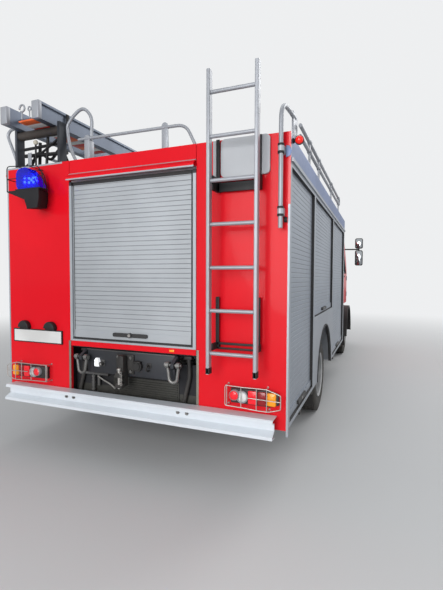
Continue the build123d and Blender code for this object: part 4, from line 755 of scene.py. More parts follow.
class Repeater:
    """Geometry Nodes trees that repeat a small mesh along a line or round a ring."""

    def __init__(self, dresser: Dresser) -> None:
        """Keeps the dresser that gives the repeats their finish."""
        self.dresser = dresser

    def _start(self, name: str, inputs: dict[str, str]) -> tuple[NodeTree, Node]:
        """Makes a tree with a geometry in and out, and with its inputs' names and kinds."""
        tree = bpy.data.node_groups.new(name, "GeometryNodeTree")
        tree.interface.new_socket("Item", in_out="INPUT", socket_type="NodeSocketGeometry")
        tree.interface.new_socket("Result", in_out="OUTPUT", socket_type="NodeSocketGeometry")
        for label, kind in inputs.items():
            tree.interface.new_socket(label, in_out="INPUT", socket_type=f"NodeSocket{kind}")
        return tree, tree.nodes.new("NodeGroupInput")

    def _end(self, entry: Node, points: NodeSocket, finish: Finish) -> Node:
        """Puts the item on the points, makes the copies real, paints them and returns the copying node."""
        tree = entry.id_data
        make, link = tree.nodes.new, tree.links.new
        copies, real = make("GeometryNodeInstanceOnPoints"), make("GeometryNodeRealizeInstances")
        paint, leave = make("GeometryNodeSetMaterial"), make("NodeGroupOutput")
        paint.inputs["Material"].default_value = self.dresser.material(finish)
        link(points, copies.inputs["Points"])
        link(entry.outputs["Item"], copies.inputs["Instance"])
        link(copies.outputs[0], real.inputs[0])
        link(real.outputs[0], paint.inputs["Geometry"])
        link(paint.outputs[0], leave.inputs["Result"])
        return copies

    def _run(self, mesh: Mesh, tree: NodeTree, values: dict[str, object]) -> Object:
        """Runs a tree on the item's mesh and keeps the result as a plain mesh."""
        item = mesh.finish("item")
        modifier = item.modifiers.new("repeat", "NODES")
        modifier.node_group = tree
        for socket in tree.interface.items_tree:
            if socket.item_type == "SOCKET" and socket.in_out == "INPUT" and socket.name in values:
                modifier[socket.identifier] = values[socket.name]
        bpy.context.view_layer.update()
        shown = item.evaluated_get(bpy.context.evaluated_depsgraph_get())
        data = bpy.data.meshes.new_from_object(shown)
        item.modifiers.remove(modifier)
        bpy.data.objects.remove(item)
        return placed("repeat", data)

    def ring(self, item: Mesh, centre: Point, radius: float, count: int, finish: Finish,
             start: float = 0.0) -> Object:
        """Repeats an item round the line along X through centre.

        Args:
            item: A small mesh whose +Z points outwards from the ring.
            centre: The ring's centre.
            radius: From the ring's centre to the item's origin.
            count: How many there are.
            finish: What they are made of.
            start: The first one's angle.

        Returns:
            One plain mesh of all of them.
        """
        kinds = {"Count": "Int", "Radius": "Float", "Centre": "Vector", "Start": "Float"}
        tree, entry = self._start("ring of items", kinds)
        make, link = tree.nodes.new, tree.links.new
        points, index = make("GeometryNodePoints"), make("GeometryNodeInputIndex")
        share, turn, angle = make("ShaderNodeMath"), make("ShaderNodeMath"), make("ShaderNodeMath")
        share.operation, turn.operation, angle.operation = "DIVIDE", "MULTIPLY", "ADD"
        turn.inputs[1].default_value = 2 * pi
        rotation, arm = make("ShaderNodeCombineXYZ"), make("ShaderNodeCombineXYZ")
        swing, place = make("ShaderNodeVectorRotate"), make("ShaderNodeVectorMath")
        swing.rotation_type, place.operation = "X_AXIS", "ADD"
        move = make("GeometryNodeSetPosition")
        link(entry.outputs["Count"], points.inputs["Count"])
        link(index.outputs[0], share.inputs[0])
        link(entry.outputs["Count"], share.inputs[1])
        link(share.outputs[0], turn.inputs[0])
        link(turn.outputs[0], angle.inputs[0])
        link(entry.outputs["Start"], angle.inputs[1])
        link(angle.outputs[0], rotation.inputs["X"])
        link(entry.outputs["Radius"], arm.inputs["Z"])
        link(arm.outputs[0], swing.inputs["Vector"])
        link(angle.outputs[0], swing.inputs["Angle"])
        link(swing.outputs[0], place.inputs[0])
        link(entry.outputs["Centre"], place.inputs[1])
        link(points.outputs[0], move.inputs["Geometry"])
        link(place.outputs[0], move.inputs["Position"])
        link(rotation.outputs[0], self._end(entry, move.outputs[0], finish).inputs["Rotation"])
        values = {"Count": count, "Radius": radius, "Centre": centre, "Start": start}
        return self._run(item, tree, values)

    def line(self, item: Mesh, first: Point, step: Point, count: int, finish: Finish) -> Object:
        """Repeats an item along a straight line.

        Args:
            item: A small mesh about its own origin.
            first: Where the first one stands.
            step: From one to the next.
            count: How many there are.
            finish: What they are made of.

        Returns:
            One plain mesh of all of them.
        """
        tree, entry = self._start("line of items", {"Count": "Int", "First": "Vector", "Step": "Vector"})
        run = tree.nodes.new("GeometryNodeMeshLine")
        for label, socket in (("Count", "Count"), ("First", "Start Location"), ("Step", "Offset")):
            tree.links.new(entry.outputs[label], run.inputs[socket])
        self._end(entry, run.outputs[0], finish)
        return self._run(item, tree, {"Count": count, "First": first, "Step": step})


def joined(name: str, pieces: list[Object], smooth: float = 0.6) -> Object:
    """Joins pieces at the origin into one, with their materials kept.

    Args:
        name: The new piece's name.
        pieces: The objects to join; they are removed.
        smooth: The angle under which edges are shaded smooth.

    Returns:
        The joined object.
    """
    form = bmesh.new()
    materials: list[Material] = []
    for piece in pieces:
        lookup = {}
        for n, slot in enumerate(piece.material_slots):
            if slot.material not in materials:
                materials.append(slot.material)
            lookup[n] = materials.index(slot.material)
        before = len(form.faces)
        form.from_mesh(piece.data)
        form.faces.ensure_lookup_table()
        for face in form.faces[before:]:
            face.material_index = lookup.get(face.material_index, 0)
    data = bpy.data.meshes.new(name)
    form.to_mesh(data)
    form.free()
    for material in materials:
        data.materials.append(material)
    data.shade_smooth()
    data.set_sharp_from_angle(angle=smooth)
    for piece in pieces:
        bpy.data.objects.remove(piece)
    return placed(name, data)


def rounded_run(points: list[Point], radius: float, closed: bool = False, steps: int = 6) -> list[Point]:
    """The points of a run whose corners are rounded.

    Args:
        points: The run's corners.
        radius: How far from a corner its rounding starts.
        closed: Whether the run ends where it starts.
        steps: How many points round each corner.

    Returns:
        The points of the rounded run.
    """
    places = [Vector(p) for p in points]
    made: list[Point] = []
    for n, corner in enumerate(places):
        if not closed and n in (0, len(places) - 1):
            made.append(tuple(corner))
            continue
        back, on = places[n - 1] - corner, places[(n + 1) % len(places)] - corner
        reach = min(radius, 0.45 * back.length, 0.45 * on.length)
        start, end = corner + back.normalized() * reach, corner + on.normalized() * reach
        for k in range(steps + 1):
            share = k / steps
            made.append(tuple(start.lerp(corner, share).lerp(corner.lerp(end, share), share)))
    return made


def rounded(outline: Outline, radius: float) -> Outline:
    """A flat closed outline with its corners rounded."""
    return [(a, b) for a, b, _ in rounded_run([(a, b, 0.0) for a, b in outline], radius, closed=True)]


def flowing(points: list[Point], steps: int = 6) -> list[Point]:
    """The points of a smooth run that passes through every given point."""
    places = [Vector(p) for p in points]
    made: list[Point] = []
    for n in range(len(places) - 1):
        p0, p1 = places[max(n - 1, 0)], places[n]
        p2, p3 = places[n + 1], places[min(n + 2, len(places) - 1)]
        for k in range(steps):
            t = k / steps
            made.append(tuple(0.5 * ((2 * p1) + (p2 - p0) * t + (2 * p0 - 5 * p1 + 4 * p2 - p3) * t * t
                                     + (3 * p1 - p0 - 3 * p2 + p3) * t * t * t)))
    made.append(tuple(places[-1]))
    return made


@dataclass
class Group:
    """Pieces that belong together; it dresses their meshes and sets them on the vehicle."""

    dresser: Dresser
    repeater: Repeater

    def skin(self, mesh: Mesh, finish: Finish, name: str = "part", smooth: float = 0.6) -> Object:
        """A mesh made into an object of one finish."""
        piece = mesh.finish(name, smooth)
        self.dresser.dress(piece, finish)
        return piece

    def fit(self, name: str, parts: list[Object], slot: str, replaces: tuple[str, ...] = (),
            body: str = "chassis") -> None:
        """Joins parts into one piece that rides on a body.

        Args:
            name: The piece's name.
            parts: The objects it is made of.
            slot: Not used.
            replaces: The nodes it stands for.
            body: The body it rides on.
        """
        whole = joined(name, parts)
        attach(whole, body)
        if replaces:
            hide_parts(*replaces)
        log.info("%s: %d faces", name, len(whole.data.polygons))


@dataclass
class Tyres(Group):
    """The road tyres: a rounded carcass with grooved tread blocks."""

    radius: float = 0.390
    half: float = 0.1075
    bead: float = 0.222
    blocks: int = 56
    block_height: float = 0.011

    def carcass(self, x: float, y: float) -> Object:
        """The tyre's body without its tread blocks."""
        base = self.radius - self.block_height
        side = [(0.086, self.bead), (0.094, 0.236), (0.101, 0.258), (0.106, 0.285), (self.half, 0.312),
                (0.1055, 0.336), (0.101, 0.356), (0.094, 0.370), (0.086, base)]
        outline = [(-a, r) for a, r in side] + [(a, r) for a, r in reversed(side)]
        return self.skin(Mesh().turned((x, y, HUB_Z), outline, 96), RUBBER)

    def tread(self, x: float, y: float) -> list[Object]:
        """Rings of tread blocks: two shoulders and three staggered ribs."""
        rows = ((-0.078, 0.028, 0.0), (-0.040, 0.030, 0.5), (0.0, 0.034, 0.0), (0.040, 0.030, 0.5),
                (0.078, 0.028, 0.0))
        pitch = 2 * pi * self.radius / self.blocks
        reach = self.radius - self.block_height / 2 - 0.0006
        made = []
        for across, width, shift in rows:
            low = (-width / 2, -pitch * 0.40, -0.004)
            high = (width / 2, pitch * 0.40, self.block_height / 2)
            made.append(self.repeater.ring(Mesh().box(low, high), (x + across, y, HUB_Z), reach, self.blocks,
                                           RUBBER, shift * 2 * pi / self.blocks))
        return made

    def build(self) -> None:
        """Makes the four pieces, single in front and twin behind, and sets them on their wheels."""
        for name, side in SIDES.items():
            outer = side * TWIN_OUTER_X
            inner = side * (TWIN_OUTER_X - TWIN_SPACING)
            for node, body, y, places in (
                    (f"front_tyre_{name}", f"wheel_front_{name}", AXLE_FRONT_Y, [side * FRONT_TYRE_X]),
                    (f"rear_tyres_{name}", f"wheels_rear_{name}", AXLE_REAR_Y, [outer, inner])):
                parts = []
                for x in places:
                    parts += [self.carcass(x, y)] + self.tread(x, y)
                self.fit(f"road_{node}", parts, "tyre", (node,), body)


@dataclass
class TailLamps(Group):
    """The two rear lamp clusters behind their wire guards, and the markers at the top corners."""

    inner: dict = field(default_factory=lambda: {"left": 0.765, "right": 0.826})
    level: float = 0.638
    base: float = 0.030
    guard: float = 0.062
    wire: float = 0.0032
    marker_x: float = 1.293
    marker_z: float = 2.346

    def cluster(self, name: str, side: float) -> list[Object]:
        """The housing with its two round and three flat lenses."""
        skin, y, z = self.skin, REAR_Y - self.base, self.level
        inner = self.inner[name] + 0.030
        outline = [(side * x, z + dz) for x, dz in (
            (inner, -0.050), (1.130, -0.054), (1.192, -0.036), (1.192, 0.036), (1.130, 0.054),
            (inner, 0.050))]
        parts = [skin(Mesh().slab(outline, "y", y, REAR_Y, 0.005), BLACK)]
        clear, red = (side * 0.9400, y, z - 0.003), (side * 0.8880, y, z + 0.007)
        cup = Mesh().turned(clear, [(-0.004, 0.041), (-0.004, 0.034), (0.004, 0.033), (0.010, 0.034),
                                    (0.013, 0.038), (0.010, 0.042), (0.002, 0.043)], 44, axis=BACK)
        cup.turned(red, [(-0.004, 0.036), (-0.004, 0.032), (0.026, 0.0310), (0.030, 0.0325), (0.027, 0.035),
                         (0.010, 0.037)], 44, axis=BACK)
        parts.append(skin(cup, PALE_METAL))
        parts.append(skin(Mesh().dome((clear[0], y - 0.002, clear[2]), BACK, 0.0345, 0.014, 40), BAND_WHITE))
        parts.append(skin(Mesh().dome((red[0], y - 0.022, red[2]), BACK, 0.0320, 0.012, 40), RED_LENS))
        for x0, x1, proud, bevel, finish in (
                (0.984, 1.045, 0.014, 0.005, RED_LENS), (1.050, 1.108, 0.012, 0.005, DEEP_RED_LENS),
                (1.113, 1.177, 0.014, 0.012, AMBER_LENS)):
            low, high = sorted((side * x0, side * x1))
            parts.append(skin(Mesh().box((low, y - proud, z - 0.045), (high, y + 0.010, z + 0.045), bevel),
                              finish))
        return parts

    def cage(self, name: str, side: float) -> Object:
        """The guard of bent wire in front of the lenses, on its short legs."""
        y, z, inner = REAR_Y - self.guard, self.level, self.inner[name]
        corners = [(inner, 0.574), (0.950, 0.570), (1.050, 0.5635), (1.131, 0.563), (1.214, 0.586),
                   (1.214, 0.680), (1.120, 0.711), (0.941, 0.709), (inner, 0.712)]
        loop = rounded_run([(side * x, y, h) for x, h in corners], 0.014, closed=True)
        mesh = Mesh().tube(loop, self.wire, 10, closed=True, up=AHEAD)
        bars = [(0.941, 0.570, 0.941, 0.709), (1.049, 0.5635, 1.049, 0.711), (1.120, 0.563, 1.120, 0.711),
                (inner + 0.013, 0.574, inner + 0.013, 0.712), (0.982, z + 0.003, 1.212, z - 0.002)]
        for x0, z0, x1, z1 in bars:
            mesh.rod((side * x0, y, z0), (side * x1, y, z1), self.wire * 0.9, 10)
        for x, h in ((inner, 0.574), (inner, 0.712), (1.131, 0.563), (1.120, 0.711)):
            leg = side * (x + (0.006 if x < 1.0 else -0.006))
            mesh.rod((leg, y, h), (leg, REAR_Y, h), self.wire, 10)
            mesh.rod((leg, REAR_Y - 0.003, h), (leg, REAR_Y, h), 0.0065, 14)
        return self.skin(mesh, ZINC)

    def marker(self, side: float) -> list[Object]:
        """The round marker on its rubber stalk, red to the rear and white to the front."""
        skin, y = self.skin, REAR_Y + 0.060
        at = (side * self.marker_x, y, self.marker_z)
        stalk = Mesh().rod((side * 1.2490, y, self.marker_z), (side * 1.262, y, self.marker_z), 0.020, 20,
                           0.013)
        stalk.turned(at, [(-0.007, 0.024), (0.007, 0.024), (0.007, 0.030), (-0.007, 0.030)], 36, axis=BACK)
        stalk.rod((at[0], y - 0.005, at[2]), (at[0], y + 0.005, at[2]), 0.026, 36)
        rear = Mesh().dome((at[0], y - 0.004, at[2]), BACK, 0.0275, 0.023, 32)
        front = Mesh().dome((at[0], y + 0.004, at[2]), AHEAD, 0.0275, 0.018, 32)
        return [skin(stalk, BLACK_SEAL_AND_SHADE), skin(rear, BRIGHT_RED_LENS), skin(front, CLEAR_LENS)]

    def build(self) -> None:
        """Makes one piece of all the lamps in the place of their solids."""
        parts = []
        for name, side in SIDES.items():
            parts += self.cluster(name, side) + [self.cage(name, side)] + self.marker(side)
        self.fit("lamp_clusters", parts, "red_lens", ("rear_lamps",))


@dataclass
class Beacon(Group):
    """The blue lamp on its shelf at the rear left corner, lit."""

    outline: tuple = ((-0.966, 2.154), (-0.966, 2.316), (-0.850, 2.330), (-0.775, 2.253), (-0.718, 2.154))
    rear: float = REAR_Y - 0.158
    front: float = REAR_Y - 0.076

    def build(self) -> None:
        """Makes the dome over its cells and its foot."""
        skin = self.skin
        dome = Mesh().slab(rounded(self.outline, 0.030), "y", self.rear, self.front, 0.014, 4)
        foot = Mesh().box((-0.978, self.rear - 0.003, 2.149), (-0.710, self.front + 0.004, 2.160), 0.004)
        back = Mesh().box((-0.940, self.rear + 0.040, 2.168), (-0.780, self.rear + 0.050, 2.290), 0.003)
        cells = Mesh()
        for x, z in ((-0.886, 2.248), (-0.886, 2.214), (-0.842, 2.242), (-0.842, 2.208), (-0.818, 2.226),
                     (-0.796, 2.242), (-0.796, 2.208)):
            cells.dome((x, self.rear + 0.032, z), BACK, 0.0115, 0.020, 20, 4)
        self.fit("lit_beacon", [skin(dome, BLUE_LENS), skin(foot, BLACK_SEAL_AND_SHADE), skin(back, CORE),
                                skin(cells, LIT_CELL)], "blue_lens", ("beacon",))


@dataclass
class Brackets(Group):
    """The two open frames that hold the ladder, and the beacon's tapering shelf with its wire guard."""

    flat: tuple[float, float] = (REAR_Y - 0.034, REAR_Y - 0.022)
    uprights: tuple = (((0.743, 0.768), (0.738, 0.756)), ((1.040, 1.063), (1.048, 1.066)))
    frames: tuple = (((2.030, 2.385), (2.030, 2.092), (2.100, 2.126)),
                     ((0.952, 1.315), (0.952, 0.966), (0.984, 1.000)))
    wire: float = 0.0038

    def holders(self) -> Object:
        """Both frames with their arms, bars and bolts."""
        mesh, (back, front) = Mesh(), self.flat
        for (low, high), lower, upper in self.frames:
            for (x0, x1), (a0, a1) in self.uprights:
                mesh.box((x0, back, low), (x1, front, high), 0.002)
                mesh.box((x0, back, lower[0]), (x1, SKIN_Y, upper[1]), 0.003)
                mesh.box((a0, REAR_Y - 0.116, lower[0]), (a1, front, upper[1]), 0.003)
                for z in (lower[0] + 0.012, upper[1] - 0.008):
                    mesh.rod(((a0 + a1) / 2, back + 0.001, z), ((a0 + a1) / 2, back - 0.006, z), 0.007, 6)
            for z0, z1 in (lower, upper):
                mesh.box((self.uprights[0][0][0], back, z0), (self.uprights[1][0][1], front, z1), 0.002)
        return self.skin(mesh, BLACK)

    def shelf(self) -> list[Object]:
        """The shelf, deeper at its left end, and the two bent wires over the dome."""
        rear, wall = REAR_Y - 0.163, SKIN_Y
        outer = [(-1.066, 2.150), (-0.722, 2.150), (-0.722, 2.075), (-0.740, 1.998), (-0.850, 1.994),
                 (-0.872, 2.072), (-1.066, 2.142)]
        inner = [(-1.080, 2.150), (-0.788, 2.150), (-0.788, 2.080), (-0.802, 2.020), (-0.880, 2.018),
                 (-0.900, 2.085), (-1.080, 2.142)]
        form = Mesh().lofted([(x, rear, z) for x, z in outer], [(x, wall, z) for x, z in inner], 0.003)
        wires = Mesh()
        for y, right in ((REAR_Y - 0.148, (-0.742, -0.698, -0.676)),
                         (REAR_Y - 0.040, (-0.822, -0.778, -0.756))):
            run = [(-1.078, 2.146), (-1.078, 2.356), (right[0], 2.330), (right[1], 2.272), (right[2], 2.146)]
            wires.tube(rounded_run([(x, y, z) for x, z in run], 0.036), self.wire, 10, up=AHEAD)
        for x, z in ((-1.078, 2.250), (-0.980, 2.349), (-0.840, 2.338)):
            wires.rod((x, REAR_Y - 0.148, z), (x, wall, z), self.wire * 0.9, 10)
        wires.rod((-1.078, REAR_Y - 0.148, 2.250), (-0.693, REAR_Y - 0.148, 2.250), self.wire * 0.9, 10)
        return [self.skin(form, BLACK_SEAL_AND_SHADE), self.skin(wires, BLACK_SEAL_AND_SHADE)]

    def build(self) -> None:
        """Makes the brackets in the place of their solid."""
        self.fit("brackets", [self.holders()] + self.shelf(), "black_plastic", ("rear_brackets",))


@dataclass
class HandRails(Group):
    """The grab tube at the right rear corner, the roof's rails and hoops, and their posts."""

    tube: float = 0.0145
    roof: float = ROOF_Z
    lean: float = REAR_Y + 0.050
    posts: tuple = (0.900, 1.450, 2.490, 3.400)

    def grab(self) -> list[Object]:
        """The tall grab tube, its clamps and the flat post it ends at."""
        skin, x, y = self.skin, 1.200, REAR_Y - 0.062
        run = flowing([(x, y, 1.766), (x, y, 1.950), (x, y, 2.200), (x, y, 2.420), (x, y + 0.007, 2.490),
                       (x, y + 0.042, 2.540), (1.196, y + 0.102, 2.574), (1.191, y + 0.197, 2.600),
                       (1.189, y + 0.307, 2.616), (1.187, y + 0.437, 2.628), (1.187, y + 0.487, 2.632)], 4)
        bar = Mesh().tube(run, self.tube, 20, up=ACROSS)
        bar.box((1.180, REAR_Y + 0.345, self.roof), (1.194, REAR_Y + 0.495, 2.662), 0.004)
        bar.box((1.165, REAR_Y + 0.340, self.roof), (1.209, REAR_Y + 0.500, self.roof + 0.006), 0.002)
        rings, blocks = Mesh(), Mesh()
        for z in (1.871, 2.266):
            for lift in (-0.024, 0.024):
                rings.rod((x, y, z + lift - 0.007), (x, y, z + lift + 0.007), 0.0215, 24)
            blocks.box((1.182, y + 0.008, z - 0.026), (1.217, SKIN_Y, z + 0.026), 0.004)
            blocks.rod((x, y, z - 0.017), (x, y, z + 0.017), 0.0195, 24)
        rings.rod((1.212, REAR_Y - 0.008, 1.824), (1.232, REAR_Y - 0.008, 1.824), 0.018, 24)
        plate = [(1.218, 2.224), (1.250, 2.236), (1.258, 2.266), (1.244, 2.296), (1.218, 2.304)]
        # The bracket plate takes the fascia finish, with its painted blue sky reflection.
        bracket = Mesh().slab(plate, "y", REAR_Y - 0.006, SKIN_Y, 0.0015)
        return [skin(bar, LADDER_METAL), skin(rings, BLACK), skin(blocks, PALE_METAL), skin(bracket, FASCIA_SKY_REFLECTION)]

    def sides(self) -> Object:
        """The double rails along both edges of the roof on their posts."""
        mesh, start, end = Mesh(), REAR_Y + 0.480, REAR_Y + 3.520
        for side in SIDES.values():
            x = side * 1.218
            loop = [(x, start, 2.600), (x, end, 2.600), (x, end, 2.520), (x, start, 2.520)]
            mesh.tube(rounded_run(loop, 0.038), self.tube, 16, up=ACROSS)
            for along in self.posts:
                y = REAR_Y + along
                mesh.box((x - 0.007, y - 0.028, self.roof), (x + 0.007, y + 0.028, 2.606), 0.003)
                mesh.box((x - 0.028, y - 0.045, self.roof - 0.001), (x + 0.020, y + 0.045, self.roof + 0.007),
                         0.002)
                for z in (2.520, 2.600):
                    mesh.rod((x, y - 0.020, z), (x, y + 0.020, z), 0.020, 20)
        return self.skin(mesh, LADDER_METAL)

    def back(self) -> Object:
        """The low rail across the rear edge with its posts, and the two hoops."""
        y, roof = self.lean, self.roof
        rail = rounded_run([(-0.506, y, 2.566), (0.470, y, 2.556), (0.552, y, roof)], 0.070)
        mesh = Mesh().tube(rail, 0.0118, 16, up=AHEAD)
        for low, high, back in ((-0.444, -0.396, y + 0.056), (0.272, 0.322, y + 0.012)):
            middle = (low + high) / 2
            outline = [(low, roof), (high, roof), (high, 2.572)]
            outline += [(middle + 0.024 * cos(a), 2.572 + 0.022 * sin(a))
                        for a in (pi * k / 8 for k in range(1, 8))] + [(low, 2.572)]
            mesh.slab(outline, "y", y - 0.006, y + 0.006, 0.0015)
            mesh.box((low, y + 0.002, roof), (high, back, roof + 0.160), 0.002)
        hoop = [(-0.560, roof), (-0.6325, 2.530), (-0.661, 2.669), (-0.657, 2.717), (-0.614, 2.770),
                (-0.543, 2.820), (-0.487, 2.8265), (-0.437, 2.787), (-0.4085, 2.720), (-0.414, 2.598),
                (-0.415, roof)]
        mesh.tube(flowing([(x, REAR_Y + 0.095, z) for x, z in hoop]), 0.0135, 16, up=AHEAD)
        left = [(-1.150, 2.744), (-1.229, 2.746), (-1.272, 2.727), (-1.286, 2.685), (-1.239, 2.578),
                (-1.184, 2.450), (-1.178, roof)]
        mesh.tube(flowing([(x, y, z) for x, z in left]), 0.0130, 16, up=AHEAD)
        for x, depth in ((-0.560, REAR_Y + 0.095), (-0.415, REAR_Y + 0.095), (-1.178, y), (0.552, y)):
            mesh.rod((x, depth, roof - 0.001), (x, depth, roof + 0.007), 0.028, 24)
        return self.skin(mesh, LADDER_METAL)

    def build(self) -> None:
        """Makes one piece of all the rails in the place of their solid."""
        self.fit("smooth_rails", self.grab() + [self.sides(), self.back()], "aluminium", ("hand_rails",))


@dataclass
class RearTrim(Group):
    """Small rear fittings: strips, catch, lock, bolts, plate lamps, the ladder's feet, the board's wing."""

    bolt_y: float = REAR_Y - 0.0712
    bolt_z: float = 0.4816

    def bolts(self) -> list[Object]:
        """Two pairs of bolts under the bumper's groove."""
        made = []
        for x in (-0.548, 0.4675):
            item = Mesh().rod((0, 0.003, 0), (0, -0.003, 0), 0.014, 24)
            item.rod((0, -0.002, 0), (0, -0.012, 0), 0.0105, 6)
            item.rod((0, -0.011, 0), (0, -0.016, 0), 0.0055, 12)
            made.append(self.repeater.line(item, (x, self.bolt_y, self.bolt_z), (0.072, 0.0, 0.0), 2, STEEL))
        return made

    def build(self) -> None:
        """Makes one piece of all the small rear fittings."""
        skin = self.skin
        strips = Mesh()
        for low, high in ((-0.5830, -0.5632), (0.5802, 0.6000)):
            strips.box((low, REAR_Y - 0.0025, 0.4305), (high, SKIN_Y, 0.9250), 0.0008)
        catch = Mesh().box((0.362, REAR_Y - 0.009, 0.898), (0.402, SKIN_Y, 0.914), 0.003)
        lock = Mesh().turned((0.018, REAR_Y - 0.019, 0.999), [
            (-0.002, 0.006), (-0.002, 0.013), (0.0035, 0.011), (0.0035, 0.006)], 24, axis=BACK)
        lock.rod((0.018, REAR_Y - 0.017, 0.999), (0.018, REAR_Y - 0.0205, 0.999), 0.0062, 20)
        feet = Mesh()
        for x in (0.7375, 1.0665):
            feet.box((x - 0.0138, REAR_Y - 0.1650, 0.8002), (x + 0.0138, REAR_Y - 0.1140, 0.8450), 0.004)
        lamps, dome = Mesh(), [(cos(a), sin(a)) for a in (pi * k / 14 for k in range(15))]
        for x in (-1.052, -0.764):
            outline = [(x + 0.058 * c, 1.014 + 0.060 * t) for c, t in dome]
            lamps.slab(outline, "y", REAR_Y - 0.046, SKIN_Y, 0.010, 3)
            lamps.box((x - 0.050, REAR_Y - 0.030, 0.998), (x + 0.050, SKIN_Y, 1.018), 0.003)
        wing = Mesh().box((0.710, REAR_Y - 0.012, 2.1300), (0.744, SKIN_Y, 2.3870), 0.002)
        parts = [skin(strips, JAMB), skin(catch, AMBER_LENS), skin(lock, ZINC), skin(feet, BLACK_SEAL_AND_SHADE),
                 skin(lamps, BLACK), skin(wing, BOARD)] + self.bolts()
        self.fit("rear_trim", parts, "steel")


